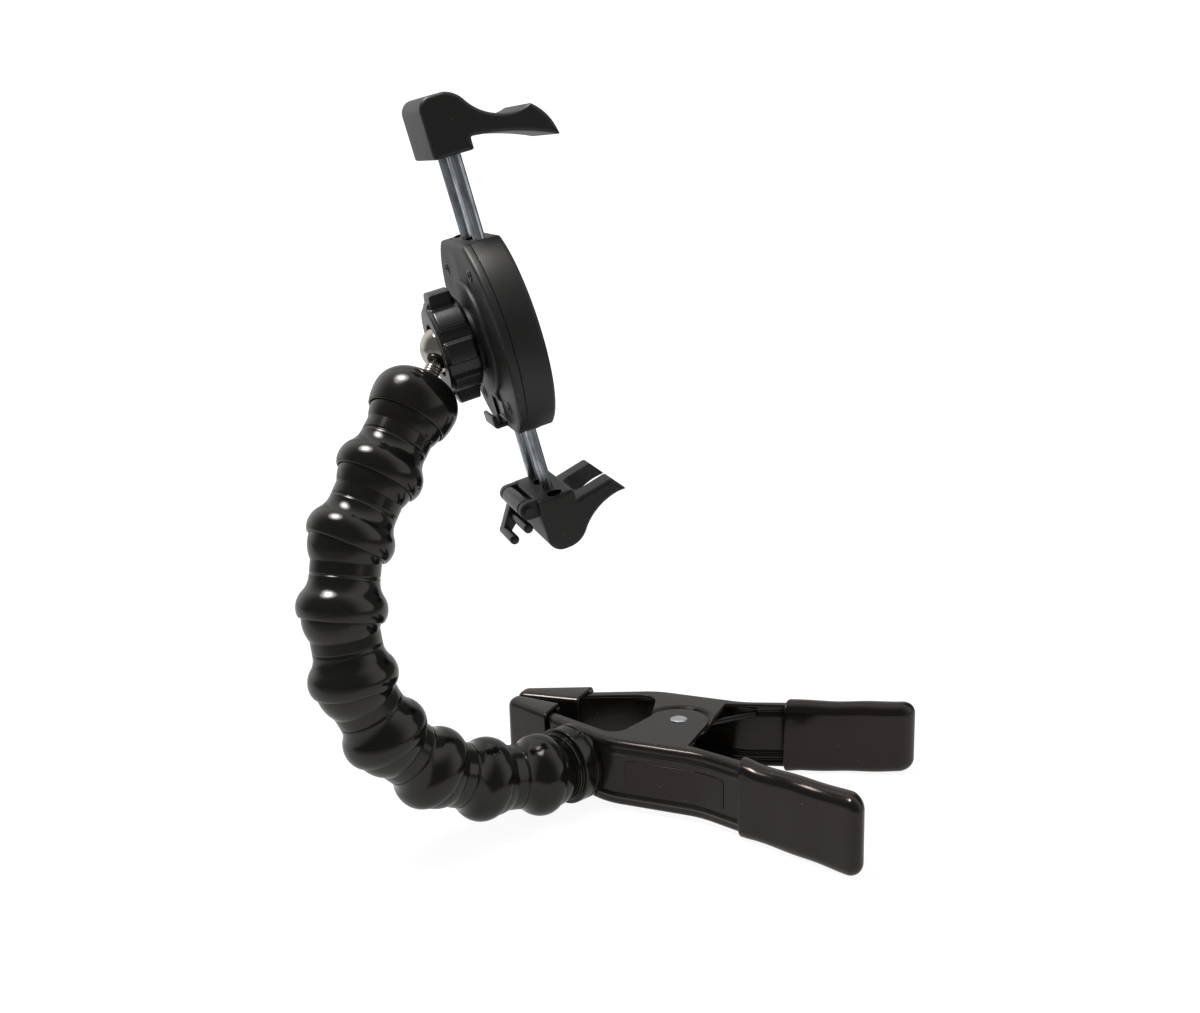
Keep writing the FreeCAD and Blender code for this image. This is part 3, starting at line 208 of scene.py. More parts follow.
def outward(outline):
    """Mitred outward normals of an anticlockwise outline: the sum of both edge normals, lengthened so
    that a step of d along them moves both edges by d."""
    edge = np.roll(outline, -1, 0) - outline
    length = np.linalg.norm(edge, axis=1, keepdims=True)
    normal = np.stack([edge[:, 1], -edge[:, 0]], 1) / np.maximum(length, 1e-9)
    before = np.roll(normal, 1, 0)
    share = 1 + np.sum(normal * before, axis=1, keepdims=True)
    return (normal + before) / np.maximum(share, 0.3)


def edge_rings(low, high, radius_low, radius_high, steps=7):
    """Inset and height of each ring of a prism: a support ring, a quarter round, the wall, a quarter
    round and a support ring."""
    support = 0.25
    turn = quarter(steps)
    bottom = np.stack([radius_low * (1 - np.sin(turn)), low + radius_low * (1 - np.cos(turn))], 1)
    top = np.stack([radius_high * (1 - np.cos(turn)), high - radius_high * (1 - np.sin(turn))], 1)
    return np.concatenate([[[radius_low + support, low]], bottom, top, [[radius_high + support, high]]])


def room_inside(outline, normal, most):
    """Share of the largest inset that each point can take before the drawn-in outline would cross itself.
    It grows no faster than the way along the outline, so a rounded edge thins towards a sharp corner."""
    if most == 0:
        return np.ones(len(outline))
    growth = 0.6
    room = np.full(len(outline), 0.02 * most)
    free = np.ones(len(outline), bool)
    for reach in np.linspace(0.05, 1.0, 39) * most:
        drawn = outline - reach * normal
        gap = np.min(np.linalg.norm(drawn[:, None] - outline[None], axis=-1), axis=1)
        free &= gap > 0.985 * reach
        room[free] = reach
    room = np.where(room < most, 0.85 * room, most)
    step = np.linalg.norm(np.roll(outline, -1, 0) - outline, axis=1)
    order = list(range(len(outline)))
    for k in order * 2:
        room[k] = min(room[k], room[k - 1] + growth * step[k - 1])
    for k in order[::-1] * 2:
        room[k] = min(room[k], room[(k + 1) % len(order)] + growth * step[k])
    return room / most


# Shapes: vertices (n, 3) in millimetres and a list of face arrays

def ring_quads(rings, around, closed_rings=False):
    """Quads between neighbouring rings of vertices, ring after ring, each ring closed on itself."""
    row = np.arange(rings if closed_rings else rings - 1)[:, None]
    col = np.arange(around)[None, :]
    up = (row + 1) % rings
    right = (col + 1) % around
    quads = np.stack([row * around + col, row * around + right, up * around + right, up * around + col], -1)
    return quads.reshape(-1, 4)


def capped(grid):
    """The shape of a grid of rings, with its first and last ring filled."""
    rings, around = grid.shape[:2]
    last = (rings - 1) * around
    caps = [np.arange(around)[::-1][None], (last + np.arange(around))[None]]
    return grid.reshape(-1, 3), [ring_quads(rings, around)] + caps


def stations(x, y, z):
    """A capped grid of sections: one x for each ring, and y and z for each point of it."""
    return capped(np.stack(np.broadcast_arrays(x[:, None], y, z), -1))


def prism(outline, rings):
    """An outline carried along z: ring i is the outline drawn in by its inset, at its height."""
    normal = outward(outline)
    normal = normal * room_inside(outline, normal, rings[:, 0].max())[:, None]
    flat = outline[None] - rings[:, 0][:, None, None] * normal[None]
    height = np.broadcast_to(rings[:, 1][:, None, None], flat.shape[:2] + (1,))
    return capped(np.concatenate([flat, height], -1))


def lathe(section, around=128, closed=True):
    """A section (radius, height) turned about z: x = r cos a, y = r sin a. A closed section gives a
    ring, an open one has its two end rings filled. Seen with the axis to the left, the section runs
    anticlockwise."""
    angle = circle(around)
    grid = np.stack([section[:, :1] * np.cos(angle), section[:, :1] * np.sin(angle),
                     np.broadcast_to(section[:, 1:], (len(section), around))], -1)
    if not closed:
        return capped(grid)
    return grid.reshape(-1, 3), [ring_quads(len(section), around, True)]


def tube(path, radius, around=20):
    """A round wire along a path: at each point two axes square to the run carry a circle."""
    run = np.gradient(path, axis=0)
    run /= np.linalg.norm(run, axis=1, keepdims=True)
    side = np.cross(run, [0.0, 0.0, 1.0])
    side /= np.linalg.norm(side, axis=1, keepdims=True)
    up = np.cross(side, run)
    angle = circle(around)[None, :, None]
    return capped(path[:, None] + radius * (np.cos(angle) * side[:, None] + np.sin(angle) * up[:, None]))


def moved(shape, offset):
    points, faces = shape
    return points + np.array(offset, float), faces


def turned(shape, rows):
    """The shape with its x, y and z axes laid along the given rows."""
    points, faces = shape
    return points @ np.array(rows, float), faces


def mirrored(shape, side):
    """The shape on its side of the clamp axis: y is turned over for side -1."""
    points, faces = shape
    return points * [1, side, 1], faces


def joined(*shapes):
    """Several closed shells as one shape."""
    points = np.concatenate([shape[0] for shape in shapes])
    starts = np.cumsum([0] + [len(shape[0]) for shape in shapes[:-1]])
    return points, [face + start for shape, start in zip(shapes, starts) for face in shape[1]]


def capsule(radius, length, nose=0.9):
    """A round bar along z with rounded ends, from 0 to its length."""
    turn = quarter(7)
    core = max(radius - nose - 0.1, 0.05)
    low = np.stack([radius - nose + nose * np.sin(turn), nose - nose * np.cos(turn)], 1)
    high = np.stack([radius - nose + nose * np.cos(turn), length - nose + nose * np.sin(turn)], 1)
    return lathe(np.concatenate([[[core, 0.0]], low, high, [[core, length]]]), 48, False)


def outside_in(shape):
    """True if the shape's faces point inwards, told by the sign of its volume."""
    points, faces = shape
    total = 0.0
    for face in faces:
        first = points[face[:, 0]]
        for k in range(1, face.shape[1] - 1):
            total += np.einsum("ij,ij->", first, np.cross(points[face[:, k]], points[face[:, k + 1]]))
    return total < 0


def add_piece(name, shape, place, body, slot, tint, *replaced):
    """Make the mesh object, give it its finish and ride it on its body. A piece that bends between two
    bodies has none here."""
    points, faces = shape
    origin, axes = place
    if outside_in(shape) != (np.linalg.det(axes) < 0):
        faces = [face[:, ::-1] for face in faces]
    mesh = bpy.data.meshes.new(name)
    world = origin + MM * points @ axes
    mesh.from_pydata(world.tolist(), [], [row for face in faces for row in face.tolist()])
    mesh.polygons.foreach_set("use_smooth", np.ones(len(mesh.polygons), bool))
    mesh.update()
    piece = bpy.data.objects.new(name, mesh)
    bpy.context.scene.collection.objects.link(piece)
    mesh.materials.append(finish(tint))
    if body:
        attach(piece, body)
    if replaced:
        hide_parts(*replaced)
    return piece


# Node groups and finishes

def feed(tree, made, inputs):
    """Set inputs of a node: each takes a value or the socket that feeds it."""
    for key, value in inputs.items():
        if isinstance(value, bpy.types.NodeSocket):
            tree.links.new(value, made.inputs[key])
        else:
            made.inputs[key].default_value = value


def node(tree, kind, inputs=None, **values):
    """A new node with its settings and inputs."""
    made = tree.nodes.new(kind)
    for key, value in values.items():
        setattr(made, key, value)
    feed(tree, made, inputs or {})
    return made


def maths(tree, operation, *inputs, **values):
    """One step of arithmetic on sockets and values."""
    return node(tree, "ShaderNodeMath", dict(enumerate(inputs)), operation=operation, **values).outputs[0]


def ranged(tree, source, low, high, from_low=0.3, from_high=0.7, curve="LINEAR"):
    """A value stretched from one range to another."""
    made = node(tree, "ShaderNodeMapRange", {
        "Value": source, "From Min": from_low, "From Max": from_high, "To Min": low, "To Max": high},
        interpolation_type=curve)
    return made.outputs["Result"]


def tinted(tree, mask, first, second):
    """First colour where the mask is 0 and second where it is 1."""
    made = node(tree, "ShaderNodeMix", {
        "A": tuple(first) + (1.0,), "B": tuple(second) + (1.0,), "Factor": mask}, data_type="RGBA")
    return made.outputs["Result"]


def noise(tree, vector, scale, detail):
    made = node(tree, "ShaderNodeTexNoise", {"Vector": vector, "Scale": scale, "Detail": detail})
    return made.outputs["Fac"]


def object_place(tree):
    return node(tree, "ShaderNodeTexCoord").outputs["Object"]


def squeezed(tree, vector, scale):
    return node(tree, "ShaderNodeMapping", {"Vector": vector, "Scale": scale}).outputs["Vector"]


def group_ends(group, inputs, outputs):
    """Sockets of a node group by name. An input is a number with a default, or else a vector."""
    for name, value in inputs.items():
        kind = "NodeSocketVector" if value is None else "NodeSocketFloat"
        made = group.interface.new_socket(name=name, in_out="INPUT", socket_type=kind)
        if value is not None:
            made.default_value = value
    for name in outputs:
        group.interface.new_socket(name=name, in_out="OUTPUT", socket_type="NodeSocketFloat")
    return node(group, "NodeGroupInput").outputs, node(group, "NodeGroupOutput").inputs


def moulded_skin(group):
    """Slow waviness of a moulded or dipped skin plus a fine grain, as one height and a roughness share."""
    start, end = group_ends(group, {"Wave Scale": 60.0, "Grain Scale": 1500.0, "Grain Share": 0.3},
                            ("Height", "Patches"))
    where = object_place(group)
    wave = noise(group, where, start["Wave Scale"], 1.0)
    grain = noise(group, where, start["Grain Scale"], 3.0)
    height = maths(group, "ADD", wave, maths(group, "MULTIPLY", grain, start["Grain Share"]))
    group.links.new(height, end["Height"])
    group.links.new(noise(group, where, 35.0, 5.0), end["Patches"])


def settled_dust(group):
    """Sparse pale specks of dust, as a mask."""
    start, end = group_ends(group, {"Speck Scale": 420.0, "Amount": 0.1}, ("Dust",))
    cells = node(group, "ShaderNodeTexVoronoi",
                 {"Vector": object_place(group), "Scale": start["Speck Scale"]})
    dot = ranged(group, cells.outputs["Distance"], 0.0, 1.0, 0.16, 0.04)
    split = node(group, "ShaderNodeSeparateColor", {"Color": cells.outputs["Color"]})
    rare = maths(group, "LESS_THAN", split.outputs["Red"], start["Amount"])
    group.links.new(maths(group, "MULTIPLY", dot, rare), end["Dust"])


def drawn_streaks(group):
    """Fine streaks along the local Y of the given vector, as on drawn and plated rod."""
    start, end = group_ends(group, {"Vector": None}, ("Streaks", "Blots"))
    streak = squeezed(group, start["Vector"], (1600.0, 22.0, 1600.0))
    blot = squeezed(group, start["Vector"], (420.0, 170.0, 420.0))
    group.links.new(noise(group, streak, 1.0, 4.0), end["Streaks"])
    group.links.new(noise(group, blot, 1.0, 6.0), end["Blots"])


def place_group(tree, name, build, **values):
    """Outputs of a node group in a tree. The group is built the first time it is asked for."""
    group = bpy.data.node_groups.get(name)
    if group is None:
        group = bpy.data.node_groups.new(name, "ShaderNodeTree")
        build(group)
    inputs = {key.replace("_", " "): value for key, value in values.items()}
    made = node(tree, "ShaderNodeGroup", node_tree=group)
    feed(tree, made, inputs)
    return made.outputs


def new_finish(name):
    material = bpy.data.materials.new(name)
    material.use_nodes = True
    tree = material.node_tree
    shader = [item for item in tree.nodes if item.type == "BSDF_PRINCIPLED"][0]
    return material, tree, shader


def relief(tree, height, distance):
    made = node(tree, "ShaderNodeBump", {"Strength": 1.0, "Distance": distance, "Height": height})
    return made.outputs["Normal"]


def black_skin(name, colour, rough, wave, grain, share, bump, dust, cast):
    """Black moulded, dipped or painted surface: waviness and grain in the normal, patchy gloss, dust and
    a warm cast on what it reflects."""
    material, tree, shader = new_finish(name)
    skin = place_group(tree, "Moulded skin", moulded_skin, Wave_Scale=wave, Grain_Scale=grain,
                       Grain_Share=share)
    specks = place_group(tree, "Settled dust", settled_dust, Amount=dust)["Dust"]
    pale = [0.10 + 0.5 * part for part in colour]
    gloss = ranged(tree, skin["Patches"], rough[0], rough[1])
    feed(tree, shader, {
        "Base Color": tinted(tree, specks, colour, pale),
        "Roughness": maths(tree, "MULTIPLY_ADD", specks, 0.5, gloss, use_clamp=True),
        "Normal": relief(tree, skin["Height"], bump),
        "IOR": 1.5,
        "Specular Tint": cast + (1.0,)})
    return material


def drawn_steel(name, pale, dark, turn):
    """Zinc-plated drawn rod: streaks along the rod, cloudy blots, and a cool tint."""
    material, tree, shader = new_finish(name)
    align = node(tree, "ShaderNodeMapping", {"Vector": object_place(tree), "Rotation": turn},
                 vector_type="POINT")
    streaks = place_group(tree, "Drawn streaks", drawn_streaks, Vector=align.outputs["Vector"])
    blotted = maths(tree, "MULTIPLY", ranged(tree, streaks["Streaks"], 0.25, 1.0, 0.35, 0.65),
                    ranged(tree, streaks["Blots"], 0.45, 1.0, 0.35, 0.6))
    feed(tree, shader, {
        "Base Color": tinted(tree, blotted, dark, pale),
        "Roughness": ranged(tree, streaks["Blots"], 0.38, 0.2),
        "Normal": relief(tree, streaks["Streaks"], 0.00002),
        "Metallic": 1.0})
    return material


def plain_steel(name, colour, shade, rough, wave=90.0, bump=0.00002):
    """Bare steel, or steel darkened to near black: cloudy colour and gloss, and a faint hammered relief."""
    material, tree, shader = new_finish(name)
    skin = place_group(tree, "Moulded skin", moulded_skin, Wave_Scale=wave, Grain_Scale=900.0,
                       Grain_Share=0.6)
    feed(tree, shader, {
        "Base Color": tinted(tree, ranged(tree, skin["Patches"], 0.0, 1.0), shade, colour),
        "Roughness": ranged(tree, skin["Patches"], rough[1], rough[0]),
        "Normal": relief(tree, skin["Height"], bump),
        "Metallic": 1.0})
    return material


def painted_bore_shade(name):
    """Painted shade that stands in for the unlit inside of a bore: near black, a little browner in random
    patches as painted stray light.
    """
    material, tree, shader = new_finish(name)
    # Random patches where the painted shade turns a little browner: painted stray light.
    stray = ranged(tree, place_group(tree, "Moulded skin", moulded_skin)["Patches"], 0.0, 1.0)
    feed(tree, shader, {
        "Base Color": tinted(tree, stray, (0.0012, 0.0011, 0.001), (0.003, 0.0028, 0.0026)),
        "Roughness": 1.0,
        "Specular IOR Level": 0.0})
    return material


FINISHES = {}


def finish(name):
    """The finish of this name, made the first time it is asked for."""
    if name in FINISHES:
        return FINISHES[name]
    tints = bpy.context.scene.clampmount_finish
    rod_turn = Matrix([list(row) for row in holder_seat()[1]]).to_euler("XYZ")
    makers = {
        "hose": lambda: black_skin("hose_plastic", tints.hose, (0.11, 0.18), 70.0, 1300.0, 0.05, 0.00006,
                                   0.04, (1.0, 0.97, 0.89)),
        "vinyl": lambda: black_skin("dipped_vinyl", tints.vinyl, (0.12, 0.22), 80.0, 700.0, 0.06, 0.00030,
                                    0.05, (1.0, 0.83, 0.74)),
        "paint": lambda: black_skin("baked_paint", tints.paint, (0.16, 0.30), 160.0, 1200.0, 0.30, 0.00005,
                                    0.06, (1.0, 0.83, 0.74)),
        "case": lambda: black_skin("case_plastic", tints.case, (0.38, 0.50), 120.0, 3200.0, 0.9, 0.00002,
                                   0.05, (1.0, 0.97, 0.94)),
        "knob": lambda: black_skin("knob_plastic", tints.case, (0.20, 0.30), 120.0, 2200.0, 0.4, 0.00002,
                                   0.05, (1.0, 0.98, 0.96)),
        "rod": lambda: drawn_steel("zinc_rod", (0.66, 0.70, 0.74), (0.10, 0.12, 0.15), rod_turn),
        "rivet": lambda: plain_steel("peened_rivet", (0.72, 0.74, 0.76), (0.30, 0.31, 0.33), (0.22, 0.45),
                                     420.0, 0.00025),
        "ball": lambda: plain_steel("polished_ball", (0.62, 0.58, 0.53), (0.42, 0.38, 0.34), (0.07, 0.14)),
        # Near-black steel: the spring is darkened as painted shade, so that it fades into the dark under the
        # ears. The screw heads share it.
        "spring": lambda: plain_steel("shade_darkened_spring", (0.05, 0.048, 0.046), (0.02, 0.02, 0.02), (0.25, 0.4)),
        # Painted shade: a dark finish that stands in for the unlit inside of bores, pocket mouths and screw
        # recesses.
        "painted_shade": lambda: painted_bore_shade("painted_bore_shade"),
    }
    FINISHES[name] = makers[name]()
    return FINISHES[name]


# Clamp

def arm_levels(size):
    """Lowest and highest height of both arms."""
    return size.skin, size.skin + size.arm_height


def web_line(x):
    """Web's distance from the clamp axis along the arm: jaw slope, belly and handle slope, with the
    two bends rounded by averaging the line over a short stretch."""
    size = sizes("clamp")
    beyond = 20
    jaw_slope = (size.belly_half - size.jaw_half) / (size.jaw_reach - size.jaw_bend)
    handle_slope = (size.handle_half - size.belly_half) / (size.handle_reach - size.handle_bend)
    knots = [-size.jaw_reach - beyond, -size.jaw_bend, size.handle_bend, size.handle_reach + beyond]
    heights = [size.jaw_half - beyond * jaw_slope, size.belly_half, size.belly_half,
               size.handle_half + beyond * handle_slope]
    spread = np.linspace(-4.6, 4.6, 25)
    return np.mean(np.interp(np.asarray(x)[..., None] + spread, knots, heights), axis=-1)


def arm_stations(size):
    """Places along the arm: close together at the ear's edges, where the flange changes quickly. The
    steel ends a little short inside its sleeves, clear of their rounded ends."""
    ear = size.ear_radius
    foot = ear + size.ear_foot + 8.0
    return np.concatenate([
        np.linspace(-size.jaw_reach + 2.0, -foot, 32),
        np.linspace(-foot + 0.25, -ear - 0.1, 52),
        -ear * np.cos(np.linspace(0, math.pi, 60)),
        np.linspace(ear + 0.02, ear + 3, 12),
        np.linspace(ear + 3.4, size.handle_reach - 4.0, 44),
    ])


def flange_edge(size, x):
    """Flange's inner edge: a strip beside the web, and the ear that reaches across the rivet. The ear is
    a half circle with a sloped foot towards the jaw and a straight side towards the handle."""
    ear = size.ear_radius
    inner = size.belly_half - size.strip_flange
    jaw = rounded([(-size.jaw_reach, size.jaw_half - size.jaw_flange, 0),
                   (-ear - size.ear_foot, inner, size.foot_radius), (-ear, 0, 0)], False, 120)
    towards_jaw = np.interp(x, jaw[:, 0], jaw[:, 1])
    towards_handle = np.interp(x, [ear, size.handle_reach], [inner, size.handle_half - size.handle_flange])
    lobe = -np.sqrt(np.clip(ear ** 2 - x ** 2, 0, None))
    return np.where(x < -ear, towards_jaw, np.where(x > ear, towards_handle, lobe))


def stepped_in(size, x, y, z):
    """Heights of the back arm, whose ears are pressed inwards to lie inside the front arm's ears: the
    shift is a smooth step of the distance from the rivet."""
    inside = size.ear_radius + size.ear_gap
    share = np.clip((inside + size.steel - np.hypot(x, y)) / size.steel, 0, 1)
    shift = (size.steel + size.nest_gap) * share * share * (3 - 2 * share)
    return z - np.sign(z - sum(arm_levels(size)) / 2) * shift


def channel(side):
    """A stamped channel arm: at each station along x a C-shaped sheet section, whose legs reach from the
    web to the flange edge. Beads swell out of the web between the bends."""
    size = sizes("clamp")
    low, high = arm_levels(size)
    steel = size.steel
    shoulder = size.shoulder
    soft = 0.3
    bead_place = 4.2
    bead_rise = 0.8
    bead_half = 0.8
    x = arm_stations(size)
    web = web_line(x)[:, None]
    edge = flange_edge(size, x)[:, None]
    turn = quarter(9)
    wall = np.linspace(high - shoulder, low + shoulder, 72)[1:-1]
    rise = bead_rise * np.interp(x, [-26.0, -14.0, 46.0, 56.0], [0.0, 1.0, 1.0, 0.0])[:, None]
    beads = (low + bead_place, high - bead_place)
    swell = rise * sum(np.exp(-((wall - bead) / bead_half) ** 2) for bead in beads)
    leg = edge + soft + (web - shoulder - edge - soft) * np.linspace(0, 1, 50)[1:-1]

    def skin(first, last, face, radius, levels, swell):
        """One face of the sheet, from a flange edge over the web to the other flange edge."""
        way = np.sign(last - first)
        return [np.broadcast_arrays(*part) for part in (
            (edge, first - soft), (leg, first),
            (face - radius * (1 - np.sin(turn)), first + way * radius * (1 - np.cos(turn))),
            (face + swell, levels),
            (face - radius * (1 - np.cos(turn)), last - way * radius * (1 - np.sin(turn))),
            (leg[:, ::-1], last), (edge, last + soft))]
    parts = skin(high, low, web, shoulder, wall, swell)
    parts += skin(low + steel, high - steel, web - steel, shoulder - steel, wall[::-1], swell[:, ::-1])
    y, z = (np.concatenate(part, 1) for part in zip(*parts))
    if side > 0:
        z = stepped_in(size, x[:, None], y, z)
    return stations(x, side * y, z)


def sleeve(x, inset, outer, inner, low, high, radius):
    """A dipped sleeve: at each station along x a rounded rectangle between two faces, drawn in by an
    inset, which rounds its closed end. The corner radius follows the room that is left."""
    angle = np.concatenate([quarter(9) + k * math.pi / 2 for k in range(4)])
    sign_y = np.repeat([1.0, -1.0, -1.0, 1.0], 9)
    sign_z = np.repeat([1.0, 1.0, -1.0, -1.0], 9)
    half_y = ((outer - inner) / 2 - inset)[:, None]
    half_z = ((high - low) / 2 - inset)[:, None]
    corner = np.minimum(radius, np.minimum(half_y, half_z) * 0.98)
    y = ((outer + inner) / 2)[:, None] + sign_y * (half_y - corner) + corner * np.cos(angle)
    z = ((high + low) / 2)[:, None] + sign_z * (half_z - corner) + corner * np.sin(angle)
    return stations(x, y, z)


def sleeve_run(end, start, round_end, nib, steps, wall, plug):
    """Places along a sleeve and the inset at each: a flat nib, a rounded end, the length, a rolled lip
    and a plug inside the mouth. The steps are those of the end, the length and the plug."""
    way = np.sign(end - start)
    lip_out, lip_in = 0.8, 0.5
    turn = quarter(steps[0])
    lip = quarter(6)
    x = np.concatenate([
        [end], end - way * round_end * (1 - np.cos(turn)),
        np.linspace(end - way * (round_end + 1), start + way, steps[1]),
        start + way * lip_out * (1 - np.sin(lip)), start + way * lip_in * np.sin(lip)[1:],
        start + way * np.linspace(1.5, plug, steps[2])])
    inset = np.concatenate([
        [round_end + nib], round_end * (1 - np.sin(turn)), np.zeros(steps[1]), lip_out * (1 - np.cos(lip)),
        wall - lip_in * np.cos(lip)[1:], np.full(steps[2], wall + 0.02)])
    return x, inset


def handle_grip(side):
    """Sleeve over a handle: rounded end, long sides that wander a little as dipped plastic does, a rolled
    lip, and a pocket that the steel fills."""
    size = sizes("clamp")
    skin = size.skin
    start = size.grip_start
    end = size.handle_reach + skin - 0.3
    x, inset = sleeve_run(end, start, 4.7, 0.15, (12, 40, 5), skin, 7)
    fade = np.clip((x - start) / 6, 0.25, 1)

    def wander(pace, phase, most):
        """Depth of a slow dent, a sine of x that never rises above the sleeve's size."""
        return most / 2 * fade * (1 + np.sin(x * pace + phase) * np.cos(x * pace * 0.37))
    web = web_line(x)
    outer = web + skin - 0.06 - wander(0.24, 1.1 * side, 0.55)
    inner = web - size.handle_flange - skin + wander(0.19, 0.4, 0.4)
    bottom = wander(0.23, 2.0 + 0.8 * side, 0.5)
    top = 2 * skin + size.arm_height - wander(0.21, 0.9 - side, 0.9)
    return mirrored(sleeve(x, inset, outer, inner, bottom, top, 4.4), side)


def jaw_sleeve(side):
    """Sleeve over a jaw: flat where it meets the other jaw, thin lip, rounded tip."""
    size = sizes("clamp")
    skin = size.skin
    start = -(size.front_pad_start if side < 0 else size.back_pad_start)
    end = -(size.jaw_reach + skin)
    x, inset = sleeve_run(end, start, 2.6, 0.2, (10, 24, 4), skin * 0.9, 6)
    share = np.clip((x - end) / (start - end), 0, 1)
    inner = size.jaw_gap / 2 + share * size.jaw_flange / 2
    bottom = np.zeros(len(x))
    top = np.full(len(x), 2 * skin + size.arm_height)
    return mirrored(sleeve(x, inset, web_line(x) + skin, inner, bottom, top, 2.2), side)


def blank_plate():
    """Thin bare plate on the front web, whose bends it follows: at each station along x a flat section
    with eased edges, shorter at both ends, which rounds the corners."""
    size = sizes("clamp")
    half = 5.6
    corner = 1.6
    first, last = -11.0, 27.0
    ends = corner * (1 - np.cos(quarter(8)))
    drop = corner * (1 - np.sin(quarter(8)))
    straight = np.linspace(first + corner, last - corner, 60)[1:-1]
    x = np.concatenate([first + ends, straight, last - ends[::-1]])
    tall = (half - np.concatenate([drop, 0 * straight, drop[::-1]]))[:, None]
    rim = np.array([0.0, 0.0, 0.06, 0.25])
    rise = np.array([-0.1, 0.16, 0.24, 0.26])
    sign = np.repeat([-1.0, 1.0], 4)
    z = sum(arm_levels(size)) / 2 + sign * (tall - np.concatenate([rim, rim[::-1]]))
    out = web_line(x)[:, None] + np.concatenate([rise, rise[::-1]])
    return stations(x, -out, z)


def rivet_shape():
    """Shank and two peened heads: low domes with a shallow dish in the middle."""
    size = sizes("clamp")
    low, high = arm_levels(size)
    head = size.head_radius
    shank = 2.4
    r = np.linspace(0.15, 1, 16)
    dome = 0.75 * (1 - 0.75 * r ** 4) - 0.2 * np.exp(-(r / 0.35) ** 2)
    top = np.stack([head * r, high + dome], 1)[::-1]
    bottom = np.stack([head * r, low - dome], 1)
    middle = [[head, low], [shank, low + 0.02], [shank, high - 0.02], [head, high]]
    return lathe(np.concatenate([bottom, middle, top]), 64, False)


def spring_shape():
    """Left-handed coil round the rivet with two straight legs: a circle that climbs by the pitch each
    turn, left along its tangents at both ends."""
    size = sizes("clamp")
    pitch = 2.35
    radius = 5.4
    wire = 1.1
    leg = size.leg_angle
    turns = 5.5 - leg / math.pi
    sweep = np.linspace(0, turns * 2 * math.pi, 300)
    angle = -math.pi / 2 - leg - sweep
    middle = sum(arm_levels(size)) / 2
    coil = np.stack([radius * np.cos(angle), radius * np.sin(angle),
                     middle + pitch * (sweep / (2 * math.pi) - turns / 2)], 1)
    climb = pitch / (2 * math.pi * radius)
    reach = np.linspace(33.0, 0.6, 24)[:, None]
    front = coil[0] + reach * np.array([math.cos(leg), -math.sin(leg), -climb])
    back = coil[-1] + reach[::-1] * np.array([math.cos(leg), math.sin(leg), climb])
    return tube(np.concatenate([front, coil, back]), wire)


# Hose

def socket_side(size, up):
    """Section of a socket from inside it, round the rim and up the flare to the widest ring."""
    ball = size.ball_radius + size.socket_gap
    rim = size.rim_radius
    depth = size.rim_depth
    drop = size.link_radius - rim
    tall = up + depth
    flare = (tall ** 2 + drop ** 2) / (2 * drop)
    inside = arc_section((0, 0), ball, 58, -math.degrees(math.asin((depth - 0.2) / ball)), 26)
    lip = inside[-1][0]
    rim_ring = np.array([[lip + 0.06, -depth + 0.06], [lip + 0.16, -depth], [rim - 0.25, -depth],
                         [rim - 0.1, -depth + 0.05], [rim - 0.02, -depth + 0.16]])
    low = -math.degrees(math.asin((tall - 0.3) / flare))
    outside = arc_section((size.link_radius - flare, up), flare, low, 0, 26)
    return np.concatenate([inside, rim_ring, outside])


def shoulder_side(size):
    """Section from the widest ring to the neck: two equal arcs, round then hollow, upright at both ends."""
    drop = (size.link_radius - size.neck_radius) / 2
    tall = (size.shoulder_height - size.widest_height) / 2
    bend = (tall ** 2 + drop ** 2) / (2 * drop)
    turn = math.degrees(math.asin(tall / bend))
    over = arc_section((size.link_radius - bend, size.widest_height), bend, 0, turn, 22)
    under = arc_section((size.neck_radius + bend, size.shoulder_height), bend, 180 + turn, 180, 22)
    return np.concatenate([over[1:], under[1:]])


def ball_side(size, centre):
    """Section of a link's ball from the neck to its cut-off top."""
    start = -math.degrees(math.acos(size.neck_radius / size.ball_radius))
    end = math.degrees(math.asin(size.ball_top / size.ball_radius))
    return arc_section((0, centre), size.ball_radius, start, end, 36)


def link_section(size):
    """Closed section of a hose link: socket, flare, shoulder, neck with a parting groove, ball and bore."""
    neck = size.neck_radius
    bore = size.bore_radius
    top = size.shoulder_height
    cut = size.link_pitch + size.ball_top
    sphere = ball_side(size, size.link_pitch)
    seam = np.array([[neck, top + 0.7], [neck - 0.22, top + 0.8], [neck - 0.22, top + 1.1],
                     [neck, top + 1.2], [neck, top + 1.6], [neck, sphere[0][1] - 0.3]])
    inside = np.array([[sphere[-1][0] - 0.5, cut + 0.05], [bore + 0.4, cut + 0.05], [bore, cut - 0.4],
                       [bore, size.link_pitch], [bore, top]])
    return np.concatenate([socket_side(size, size.widest_height), shoulder_side(size), seam, sphere, inside])


def base_section(size):
    """Closed section of the base: grooved collar, stepped ring, neck and ball."""
    neck = size.neck_radius
    collar = size.collar_radius
    groove = collar - 0.55
    deep = size.collar_length
    ring = 12.4
    core = 0.4
    sphere = ball_side(size, size.base_length)
    body = rounded([(core, 0.0, 0), (collar, 0.0, 0.5), (collar, 2.3, 0.25), (groove, 2.5, 0.2),
                    (groove, 3.1, 0.2), (collar, 3.3, 0.25), (collar, deep, 0.7), (ring, deep, 0.3),
                    (ring, deep + 1.5, 0.35), (neck, deep + 1.5, 0.2), (neck, sphere[0][1], 0)], False)
    return np.concatenate([even(body, 0.8), sphere, [[core, size.base_length + size.ball_top]]])


